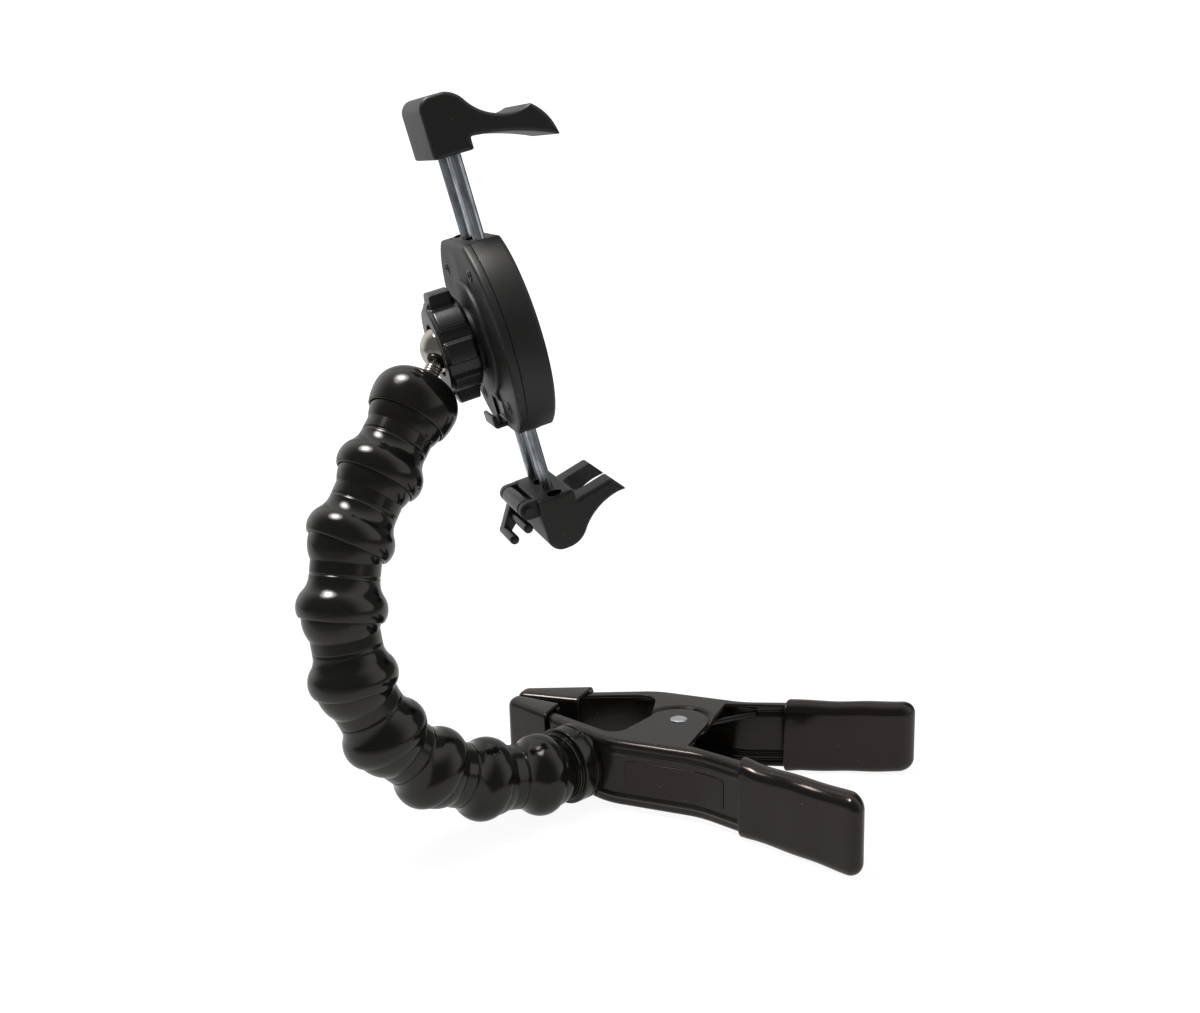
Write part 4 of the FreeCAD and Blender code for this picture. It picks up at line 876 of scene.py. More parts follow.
def cap_section(size):
    """Closed section of the end cap: socket, flare, and a dome that ends in a small flat."""
    up = size.cap_widest
    top = size.cap_top
    drop = size.link_radius - size.cap_flat
    tall = top - up
    dome = (tall ** 2 + drop ** 2) / (2 * drop)
    last = math.degrees(math.asin(min((tall - 0.15) / dome, 1.0)))
    over = arc_section((size.link_radius - dome, up), dome, 0, last, 30)[1:]
    crown = np.array([[size.cap_flat - 0.9, top], [5.0, top], [4.6, top + 0.02], [3.2, top + 0.02]])
    inside = np.array([[2.95, top - 0.2], [2.95, 9.9], [6.0, 9.85]])
    return np.concatenate([socket_side(size, up), over, crown, inside])


def stud_section(size):
    """Section of the stud: a threaded neck out of the cap and the polished ball."""
    foot = size.cap_top - 3.0
    ball = size.stud_ball
    neck = size.stud_neck
    pitch = 0.9
    depth = 0.16
    level = np.linspace(foot, size.stud_length - math.sqrt(ball ** 2 - neck ** 2) - 0.2, 40)
    thread = neck - depth + depth * np.cos(level * 2 * math.pi / pitch)
    sphere = arc_section((0, size.stud_length), ball, -math.degrees(math.acos(neck / ball)), 89.0, 60)
    return np.concatenate([[[0.1, foot]], np.stack([thread, level], 1), sphere])


# Holder

ROD_LEVEL = 19.2
SLOT_LOW, SLOT_HIGH = -31.0, -22.0


def knob_shape():
    """Ring knob: a closed section turned about z, whose outer wall swells into eight rounded pads and
    two lugs. The swelling is a product of a window round the ring and a window along the axis."""
    size = sizes("holder")
    low = -2.9
    high = low + size.knob_height
    wall = size.knob_radius
    mouth = size.knob_mouth
    bore = 11.3
    step = -1.7
    pad_rise, lug_rise = 1.5, 4.5
    section = even(rounded([(mouth, low, 0.3), (wall, low, 1.0), (wall, high, 1.0), (bore, high, 0.3),
                            (bore, step, 0.1), (mouth, step, 0.2)]), 0.3, True)
    angle = circle(480)
    near = np.clip((section[:, 0] - (wall - 1.2)) / 1.0, 0, 1)

    def window(value, half, soft):
        share = np.clip((half - np.abs(value)) / soft + 0.5, 0, 1)
        return share * share * (3 - 2 * share)
    pad_turn = (angle + math.pi / 8) % (math.pi / 4) - math.pi / 8
    lug_turn = (angle + math.pi) % math.pi - math.pi / 2
    above = section[:, 1:] - (low + high) / 2
    pads = window(pad_turn * wall, 3.4, 1.1) * window(above, (high - low) / 2 - 0.9, 1.2)
    lugs = window(lug_turn * wall, 4.4, 1.3) * window(above, 3.9, 1.2)
    reach = section[:, :1] + near[:, None] * np.maximum(pad_rise * pads, lug_rise * lugs)
    points = np.stack([reach * np.cos(angle), reach * np.sin(angle),
                       np.broadcast_to(section[:, 1:], reach.shape)], -1)
    return points.reshape(-1, 3), [ring_quads(len(section), len(angle), True)]


def case_outline(size):
    """Plan of the housing: a circle with two flat ends, with a point in the middle of each flat end."""
    flat = math.sqrt(size.case_radius ** 2 - size.case_half ** 2)
    lean = math.atan2(size.case_half, flat)
    right = size.case_radius * on_arc(np.linspace(-lean, lean, 90))
    bottom = np.stack([np.linspace(-flat, flat, 25)[1:-1], np.full(23, -size.case_half)], 1)
    return np.concatenate([bottom, right, -bottom, -right])


def slotted(size, rings, depth, room):
    """The plan carried along z, with a slot for the lever sunk into its first face by a depth and widened
    by some room. That face is two halves that meet along the middle line."""
    outline = case_outline(size)
    points, (quads, _, last_cap) = prism(outline, rings)
    around = len(outline)
    ring = points[:around]
    wide = size.slot_width / 2 + room
    low = max(SLOT_LOW - room, ring[:, 1].min() + 0.15)
    high = SLOT_HIGH + room
    slot = np.array([[0, low], [wide, low], [wide, high], [0, high], [-wide, high], [-wide, low]])
    first = len(points)
    level = ring[0, 2]
    rim, floor = (np.concatenate([slot, np.full((6, 1), z)], 1) for z in (level, level + depth))
    order = np.arange(around)
    low_mid, high_mid = (int(np.argmin(np.abs(ring[:, 0]) + (ring[:, 1] * end < 0) * 1e3)) for end in (-1, 1))
    right = np.concatenate([order[low_mid:high_mid + 1], first + np.array([3, 2, 1, 0])])
    left = np.concatenate([order[high_mid:], order[:low_mid + 1], first + np.array([0, 5, 4, 3])])
    step = np.arange(6)
    onward = (step + 1) % 6
    walls = first + np.stack([step, onward, 6 + onward, 6 + step], 1)
    faces = [quads, right[::-1][None], left[::-1][None], last_cap, walls, (first + 6 + step[::-1])[None]]
    return np.concatenate([points, rim, floor]), faces


def cover_shape():
    """Back cover: the plan with a rounded back edge and a thin parting step, a boss round the knob, and
    the lever's slot."""
    size = sizes("holder")
    back = size.case_back
    split = back + size.cover_depth
    step = 0.35
    inner, outer = 11.2, 20.0
    rings = edge_rings(back, split - 0.25, 1.4, 0.05)
    rings = np.concatenate([rings[:-1], [[step, split - 0.2], [step, split]]])
    boss = rounded([(inner, back - 1.55, 0.2), (outer, back - 1.55, 1.2), (outer, back + 0.6, 0),
                    (inner, back + 0.6, 0)])
    return joined(slotted(size, rings, size.cover_depth + 1.4, 0.0), lathe(even(boss, 0.5, True), 160))


def front_shape():
    """Front of the housing: the plan with a rounded front edge and room for the lever's swing."""
    size = sizes("holder")
    split = size.case_back + size.cover_depth
    return slotted(size, edge_rings(split, size.case_back + size.case_depth, 0.12, 1.5), 1.6, 0.1)


def screw_shapes():
    """Four pan-head screws: low domes, and on each a thin dark cross, painted shade where its cross-shaped
    recess would be shaded.
    """
    back = sizes("holder").case_back
    rise = 0.32
    arm, web = 1.3, 0.28
    turn = quarter(7)
    dome = np.stack([1.9 + 0.4 * np.sin(turn), back - rise + rise * (1 - np.cos(turn))], 1)
    head = lathe(np.concatenate([[[0.1, back - rise]], dome, [[2.3, back + 0.4], [0.1, back + 0.4]]]), 48)
    corners = np.array([[-arm, -web], [-web, -web], [-web, -arm], [web, -arm], [web, -web], [arm, -web]])
    # The cross is painted shade: a thin prism in the dark finish standing where the recess would be in shade.
    cross = prism(np.concatenate([corners, -corners]), np.array([[0.0, back - rise - 0.04], [0.0, back]]))
    places = [(x, y, 0) for x in (-17.5, 17.5) for y in (-22.5, 22.5)]
    return [joined(*[moved(shape, spot) for spot in places]) for shape in (head, cross)]


def upper_outline(size):
    """Side outline of the upper arm: block, rounded shoulder, saddle, and a hook with a hollow underside."""
    low = size.case_half + size.upper_gap
    top = low + 19.0
    back = size.case_back
    front = back + size.block_depth
    tip = (low - 3.0, front + 28.0)
    crown = (top - 10.2, tip[1] - 6.8)
    neck = (top - 4.4, front + 1.6)
    saddle = bow(neck, crown, 17.0, 1, 26)
    hook = bow(crown, tip, 16.0, -1, 20)
    under = bow(tip, (low + 4.0, front), 80.0, 1, 22)
    block = rounded([(low, front, 0), (low, back, 1.0), (top, back, 4.2), (top, front - 4.6, 0)], False)
    shoulder = bow((top, front - 4.6), neck, 9.0, -1, 12)
    return eased(np.concatenate([block, shoulder[1:], saddle[1:], hook[1:], under[1:]]))


def lower_outline(size):
    """Side outline of the lower arm: block, a notch, and a finger that sweeps up to a cut tip."""
    high = -(size.case_half + size.lower_gap)
    low = high - 19.6
    back = size.case_back
    front = back + size.block_depth
    tip = front + 18.0
    bend = (high - 15.0, front + 1.0)
    sweep = bow((high - 6.4, tip), bend, 22.0, 1, 26)
    heel = bow(bend, (low, front - 6.0), 9.0, -1, 14)
    toe = bow((low, back + 4.4), (low + 4.4, back), 5.2, -1, 12)
    notch = [[high, back], [high, front], [high - 4.0, front], [high - 1.0, tip - 4.2]]
    return eased(np.concatenate([notch, sweep, heel[1:], toe]))


def lower_arm_shape(size):
    """Lower arm: its outline pulled across the arm, with the finger cut away in the middle. At each
    station across the arm, points above the cut drop to it and spread over the finger's thickness."""
    half = size.arm_width / 2
    gap = half - 8.0
    hollow = 3.0
    floor = size.case_back + size.block_depth + 2.0
    outline = lower_outline(size)
    rings = edge_rings(-half, half, 1.3, 1.3)
    inner = gap - hollow + hollow * np.sin(quarter(12))
    flank = np.array([gap, gap + 0.1, gap + 0.35])
    spans = np.concatenate([-flank[::-1], -inner[::-1], np.linspace(-gap + 3.2, gap - 3.2, 9), inner, flank])
    middle = np.stack([np.zeros(len(spans)), spans], 1)
    rings = np.concatenate([rings[:8], middle, rings[8:]])
    points, faces = prism(outline, rings)
    grid = points.reshape(len(rings), len(outline), 3)
    across = np.abs(rings[:, 1])
    bend = np.clip(across - (gap - hollow), 0, hollow)
    cut = floor + hollow - np.sqrt(np.clip(hollow ** 2 - bend ** 2, 0, None))
    cut = np.where(across > gap - 1e-6, 1e3, cut)[:, None]
    along = grid[:, :, 0]
    above = grid[:, :, 1] > cut
    first = np.argmax(above, 1)[:, None]
    last = len(outline) - 1 - np.argmax(above[:, ::-1], 1)[:, None]
    share = np.clip((np.arange(len(outline))[None] - first) / np.maximum(last - first, 1), 0, 1)
    start = np.take_along_axis(along, first, 1)
    end = np.take_along_axis(along, last, 1)
    grid[:, :, 0] = np.where(above, start + (end - start) * share, along)
    grid[:, :, 1] = np.minimum(grid[:, :, 1], cut)
    return grid.reshape(-1, 3), faces


def clip_spot():
    """Clip pin's place along the rods and behind the arm."""
    size = sizes("holder")
    return -(size.case_half + size.lower_gap) - 2.8, size.case_back - 3.4


def ear_shapes():
    """Two ears behind the lower arm that hold the clip's pin: a half round on a short stem."""
    along, level = clip_spot()
    foot, place, half = 13.0, 13.0, 3.0
    outline = np.concatenate([[[along + half, foot], [along - half, foot]],
                              bow((along - half, level), (along + half, level), half + 0.001, -1, 24)])
    ear = prism(even(outline, 0.6, True), edge_rings(-1.65, 1.65, 0.35, 0.35, 5))
    return joined(moved(ear, (0, 0, place)), moved(ear, (0, 0, -place)))


def clip_shape():
    """Swinging clip: a barrel on the pin, a plate at its far end and two round prongs."""
    along, level = clip_spot()
    near = (along - 6.4, level - 1.4)
    far = (along - 10.9, level - 5.9)
    end = 10.65
    plate = rounded([(along + 2.2, level + 1.8, 1.5), (along, level + 2.9, 1.0),
                     (near[0] - 0.6, near[1] + 2.2, 1.8), (far[0] - 2.0, far[1] + 0.2, 1.2),
                     (far[0] - 0.6, far[1] - 2.0, 1.2), (along - 2.1, level - 2.1, 1.0),
                     (along + 1.6, level - 2.2, 1.5)])
    side = prism(even(plate, 0.5, True), edge_rings(end - 5.0, end, 0.5, 0.5, 5))
    barrel = moved(capsule(3.0, 21.3, 0.6), (along, level, -end))
    prongs = [moved(capsule(1.7, length, 1.2), spot + (end - length,))
              for spot, length in ((near, 24.0), (far, 17.0))]
    return joined(side, barrel, *prongs)


def lever_shape():
    """Release lever: a plate in the slot that turns out into a hooked finger rest."""
    size = sizes("holder")
    fit = 0.35
    pin = -24.4 + 1.6
    level = size.case_back + size.cover_depth / 2 + 0.2
    out = size.case_back - 4.6
    low = SLOT_LOW + fit
    outline = rounded([(pin, level - 1.2, 0.4), (pin, level + 1.2, 0.4), (low, level + 1.2, 0.5),
                       (low, out, 1.3), (low + 4.5, out, 0.6), (low + 4.5, out + 1.4, 0.6),
                       (low + 1.6, out + 1.6, 0.8), (low + 1.6, level - 1.2, 0.8)])
    half = size.slot_width / 2 - fit
    return prism(even(outline, 0.5, True), edge_rings(-half, half, 0.4, 0.4, 5))


def along_rods(shape, places, level, way):
    """Copies of a shape with its z axis laid along the rods, one at each place across the arms."""
    rows = [[1, 0, 0], [0, 0, way], [0, -way, 0]]
    return joined(*[moved(turned(shape, rows), (x, level, ROD_LEVEL)) for x in places])


def rod_pair(places, start, way):
    """Two round rods with eased ends: from inside their arm through the housing."""
    radius, reach, nose, inside = 2.0, 93.0, 0.35, 12.0
    return along_rods(capsule(radius, reach, nose), places, start + way * inside, way)


def pocket_mouth_shade(places, level, way):
    """Thin near-black discs of painted shade at the mouths of the pockets that take the other arm's rods,
    each with a thin rolled lip.
    """
    radius = 2.45
    disc = prism(radius * on_arc(circle(48)), np.array([[0.0, -0.3], [0.0, 0.03], [0.2, 0.04]]))
    return along_rods(disc, places, level, -way)


# Settings that a user would change

def length(name, description, default):
    return FloatProperty(name=name, description=description, default=default, unit="LENGTH")


def colour(name, description, default):
    return FloatVectorProperty(name=name, description=description, default=default, subtype="COLOR", size=3,
                               min=0.0, max=1.0)


class ClampSizes(bpy.types.PropertyGroup):
    """Sizes of the clamp."""
    jaw_reach: length("Jaw reach", "Rivet to the steel jaw tip", 0.066)
    handle_reach: length("Handle reach", "Rivet to the steel handle end", 0.077)
    jaw_half: length("Jaw half", "Clamp axis to the web at the jaw tip", 0.0064)
    belly_half: length("Belly half", "Clamp axis to the web beside the rivet", 0.0263)
    handle_half: length("Handle half", "Clamp axis to the web at the handle end", 0.0463)
    jaw_bend: length("Jaw bend", "Rivet to the bend towards the jaws", 0.018)
    handle_bend: length("Handle bend", "Rivet to the bend towards the handles", 0.017)
    jaw_flange: length("Jaw flange", "Flange width at the jaw", 0.0046)
    strip_flange: length("Strip flange", "Flange width beside the ear", 0.0056)
    handle_flange: length("Handle flange", "Flange width at the handle", 0.007)
    ear_radius: length("Ear radius", "Ear round the rivet", 0.011)
    ear_foot: length("Ear foot", "How far the ear's foot runs towards the jaw", 0.0055)
    steel: length("Steel", "Sheet thickness", 0.0014)
    arm_height: length("Arm height", "Height of the front channel", 0.025)
    nest_gap: length("Nest gap", "Room between the nested ears", 0.0003)
    ear_gap: length("Ear gap", "Room round the other arm's ear", 0.0012)
    foot_radius: length("Foot radius", "Hollow at the ear's foot", 0.006)
    head_radius: length("Rivet head", "Radius of the rivet's heads", 0.0032)
    leg_angle: FloatProperty(name="Leg angle", description="Spring leg from the clamp axis",
                             default=math.radians(39.0), unit="ROTATION")
    shoulder: length("Shoulder", "Rolled edge between web and flanges", 0.0024)
    skin: length("Skin", "Thickness of the dipped plastic", 0.0016)
    grip_start: length("Grip start", "Rivet to the start of the grips", 0.033)
    front_pad_start: length("Front pad start", "Rivet to the end of the front pad", 0.047)
    back_pad_start: length("Back pad start", "Rivet to the end of the back pad", 0.042)
    jaw_gap: length("Jaw gap", "Between the closed jaw pads", 0.0004)


class HoseSizes(bpy.types.PropertyGroup):
    """Sizes of the hose and of the ball stud."""
    link_pitch: length("Link pitch", "Socket centre to ball centre", 0.023)
    link_radius: length("Link radius", "Widest ring of a link", 0.0146)
    rim_radius: length("Rim radius", "Socket rim, outside", 0.0135)
    rim_depth: length("Rim depth", "Socket rim below the socket centre", 0.0013)
    widest_height: length("Widest height", "Widest ring above the socket centre", 0.0024)
    shoulder_height: length("Shoulder height", "Top of the shoulder", 0.012)
    neck_radius: length("Neck radius", "Neck between shoulder and ball", 0.0113)
    ball_radius: length("Ball radius", "Ball of a link", 0.0127)
    ball_top: length("Ball top", "Cut-off top of a ball above its centre", 0.005)
    socket_gap: length("Socket gap", "Ball to socket", 0.00025)
    bore_radius: length("Bore radius", "Bore through the links", 0.0064)
    base_length: length("Base length", "Clamp arm to the base's ball centre", 0.016)
    collar_radius: length("Collar radius", "Collar on the clamp arm", 0.014)
    cap_top: length("Cap top", "Flat top of the end cap", 0.0148)
    cap_widest: length("Cap widest", "Widest ring of the end cap", 0.0055)
    collar_length: length("Collar length", "Collar on the clamp arm", 0.0078)
    cap_flat: length("Cap flat", "Radius of the end cap's flat top", 0.007)
    stud_length: length("Stud length", "Cap's socket centre to the stud's ball", 0.0274)
    stud_ball: length("Stud ball", "Radius of the stud's ball", 0.008)
    stud_neck: length("Stud neck", "Radius of the stud's neck", 0.0029)


class HolderSizes(bpy.types.PropertyGroup):
    """Sizes of the holder."""
    knob_radius: length("Knob radius", "Ring knob between its pads", 0.0146)
    knob_height: length("Knob height", "Ring knob along its axis", 0.0116)
    knob_mouth: length("Knob mouth", "Opening of the ring knob", 0.009)
    case_radius: length("Case radius", "Round sides of the housing", 0.036)
    case_half: length("Case half", "Ball axis to the flat ends", 0.032)
    case_back: length("Case back", "Ball centre to the housing's back", 0.012)
    cover_depth: length("Cover depth", "Back cover", 0.0032)
    case_depth: length("Case depth", "Whole housing", 0.0136)
    slot_width: length("Slot width", "Slot for the release lever", 0.014)
    arm_width: length("Arm width", "Width of both arms", 0.033)
    block_depth: length("Block depth", "Depth of both arms' blocks", 0.0134)
    rod_step: length("Rod step", "Between neighbouring rods", 0.009)
    upper_gap: length("Upper gap", "Housing to the upper arm", 0.027)
    lower_gap: length("Lower gap", "Housing to the lower arm", 0.0245)


class FinishTints(bpy.types.PropertyGroup):
    """Base colours of the black finishes."""
    hose: colour("Hose", "Moulded hose", (0.0060, 0.0058, 0.0056))
    vinyl: colour("Vinyl", "Dipped grips and jaws", (0.0070, 0.0062, 0.0058))
    paint: colour("Paint", "Baked paint of the clamp", (0.0120, 0.0110, 0.0102))
    case: colour("Case", "Moulded holder", (0.0115, 0.0112, 0.0110))


class StageSettings(bpy.types.PropertyGroup):
    """Light and camera of the studio."""
    box_power: FloatProperty(name="Box power", description="Compact soft light overhead", default=7.5,
                             unit="POWER")
    box_size: length("Box size", "Width of the soft light's disc", 0.27)
    paper: FloatProperty(name="Paper", description="Brightness of the white sweep", default=1.16,
                         min=0.0, max=2.0)
    room: FloatProperty(name="Room", description="Brightness of the room in front", default=0.14,
                        min=0.0, max=1.0)
    lens: FloatProperty(name="Lens", description="Focal length on a 36 mm wide frame", default=39.17,
                        subtype="DISTANCE_CAMERA")
    backdrop_parts: IntProperty(name="Backdrop parts", description="Steps across the backdrop's bend",
                                default=48, min=8)


# Operators

class CLAMPMOUNT_OT_clamp_arms(bpy.types.Operator):
    """Stamped front and back arms of the clamp, with the bare plate on the front one"""
    bl_idname = "clampmount.clamp_arms"
    bl_label = "Clamp arms"

    def execute(self, context):
        place = clamp_seat()
        for name, side, body in (("front_arm", -1, "clamp_front"), ("back_arm", 1, "clamp_back")):
            add_piece(name + "_steel", channel(side), place, body, "black_paint", "paint", name)
        add_piece("bare_plate", blank_plate(), place, "clamp_front", "black_paint", "vinyl")
        return {"FINISHED"}


class CLAMPMOUNT_OT_dipped_sleeves(bpy.types.Operator):
    """Dipped grips on the handles and pads on the jaws"""
    bl_idname = "clampmount.dipped_sleeves"
    bl_label = "Dipped sleeves"

    def execute(self, context):
        for name, side in (("front", -1), ("back", 1)):
            for kind, shape, covered in (("_grip", handle_grip(side), "_grip"),
                                         ("_jaw", jaw_sleeve(side), "_jaw_pad")):
                add_piece(name + kind + "_sleeve", shape, clamp_seat(), "clamp_" + name, "black_vinyl",
                          "vinyl", name + covered)
        return {"FINISHED"}


class CLAMPMOUNT_OT_rivet_and_spring(bpy.types.Operator):
    """Peened rivet and the coil spring, which bends between the two arms"""
    bl_idname = "clampmount.rivet_and_spring"
    bl_label = "Rivet and spring"

    def execute(self, context):
        place = clamp_seat()
        add_piece("peened_rivet", rivet_shape(), place, "clamp_front", "zinc_steel", "rivet", "pivot_rivet")
        coil = add_piece("coil_spring", spring_shape(), place, None, "spring_steel", "spring",
                         "torsion_spring")
        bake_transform(coil)
        return {"FINISHED"}


class CLAMPMOUNT_OT_hose(bpy.types.Operator):
    """Hose base, links and end cap"""
    bl_idname = "clampmount.hose"
    bl_label = "Hose"

    def execute(self, context):
        size = sizes("hose")
        clamp = sizes("clamp")
        places = hose_places()
        slope = math.atan2(clamp.belly_half - clamp.jaw_half, clamp.jaw_reach - clamp.jaw_bend)
        out = np.array([-math.sin(slope), -math.cos(slope), 0.0])
        foot = places[0] - out * size.base_length * MM
        rows = [("hose_base", "clamp_front", base_section(size), foot, out)]
        for k in range(8):
            name = "hose_link_%d" % (k + 1)
            rows.append((name, name, link_section(size), places[k], places[k + 1] - places[k]))
        rows.append(("end_cap", "hose_end", cap_section(size), places[8], places[9] - places[8]))
        for name, body, section, origin, way in rows:
            add_piece(name + "_moulding", lathe(section, 144), seat_along(origin, way), body, "hose_plastic",
                      "hose", name)
        return {"FINISHED"}


class CLAMPMOUNT_OT_ball_joint(bpy.types.Operator):
    """Ball stud and ring knob"""
    bl_idname = "clampmount.ball_joint"
    bl_label = "Ball joint"

    def execute(self, context):
        places = hose_places()
        stud = lathe(stud_section(sizes("hose")), 96, False)
        add_piece("ball_stud_turned", stud, seat_along(places[8], places[9] - places[8]), "hose_end",
                  "polished_steel", "ball", "ball_stud")
        add_piece("ring_knob_moulding", knob_shape(), holder_seat(), "knob", "holder_plastic", "knob",
                  "ring_knob")
        return {"FINISHED"}


class CLAMPMOUNT_OT_housing(bpy.types.Operator):
    """Housing, its screws and the release lever"""
    bl_idname = "clampmount.housing"
    bl_label = "Housing"

    def execute(self, context):
        place = holder_seat()
        heads, crosses = screw_shapes()
        add_piece("back_cover_moulding", cover_shape(), place, "holder", "holder_plastic", "case",
                  "back_cover")
        add_piece("front_housing_moulding", front_shape(), place, "holder", "holder_plastic", "case",
                  "front_housing")
        add_piece("screw_heads", heads, place, "holder", "spring_steel", "spring", "housing_screws")
        # Dark crosses of painted shade on the screw heads, where the recesses would be shaded.
        add_piece("screw_recess_shade", crosses, place, "holder", "spring_steel", "painted_shade")
        add_piece("release_lever_moulding", lever_shape(), profile_seat(), "lever", "holder_plastic", "knob",
                  "release_lever")
        return {"FINISHED"}


class CLAMPMOUNT_OT_sliding_arms(bpy.types.Operator):
    """Upper and lower arms with their rods"""
    bl_idname = "clampmount.sliding_arms"
    bl_label = "Sliding arms"

    def execute(self, context):
        size = sizes("holder")
        half = size.arm_width / 2
        end = size.case_half
        high = end + size.upper_gap
        low = -(end + size.lower_gap)
        own = [size.rod_step * place for place in (-1.5, 0.5)]
        other = [-place for place in own]
        upper = prism(upper_outline(size), edge_rings(-half, half, 1.4, 1.4))
        lower = joined(lower_arm_shape(size), ear_shapes())
        for name, shape in (("upper", upper), ("lower", lower)):
            add_piece(name + "_arm_moulding", shape, profile_seat(), name + "_slide", "holder_plastic",
                      "case", name + "_arm")
        for name, shape in (("upper", rod_pair(own, high, 1)), ("lower", rod_pair(other, low, -1))):
            add_piece(name + "_rod_pair", shape, holder_seat(), name + "_slide", "zinc_steel", "rod",
                      name + "_rods")
        # Thin dark discs of painted shade at the mouths of the housing's bores and of both arms' pockets.
        bore_mouth_shade = joined(pocket_mouth_shade(other, end, -1), pocket_mouth_shade(own, -end, 1))
        for name, shape, body in (("housing_bore", bore_mouth_shade, "holder"),
                                  ("lower_pocket", pocket_mouth_shade(own, low, -1), "lower_slide"),
                                  ("upper_pocket", pocket_mouth_shade(other, high, 1), "upper_slide")):
            add_piece(name + "_painted_mouth_shade", shape, holder_seat(), body, "holder_plastic", "painted_shade")
        return {"FINISHED"}


class CLAMPMOUNT_OT_cord_clip(bpy.types.Operator):
    """Swinging clip behind the lower arm"""
    bl_idname = "clampmount.cord_clip"
    bl_label = "Clip"

    def execute(self, context):
        add_piece("cord_clip_moulding", clip_shape(), profile_seat(), "clip", "holder_plastic", "knob",
                  "cord_clip")
        return {"FINISHED"}


class CLAMPMOUNT_OT_carried_nodes(bpy.types.Operator):
    """Finishes of the frame's own pieces that stay in view"""
    bl_idname = "clampmount.carried_nodes"
    bl_label = "Carried pieces"

    def execute(self, context):
        kept = {"base_bolt": "rivet", "ball_seat": "case", "lever_pin": "rivet", "clip_pin": "knob"}
        for name, tint in kept.items():
            for holder in frame["nodes"][name].material_slots:
                holder.material = finish(tint)
        return {"FINISHED"}


def stand(name, data, spot, right, up, back):
    """An object at a spot with its x, y and z axes along the three given ones."""
    item = bpy.data.objects.new(name, data)
    turn = Matrix([list(row) for row in np.stack([right, up, back], 1)]).to_4x4()
    item.matrix_world = Matrix.Translation(tuple(spot)) @ turn
    bpy.context.scene.collection.objects.link(item)
    return item


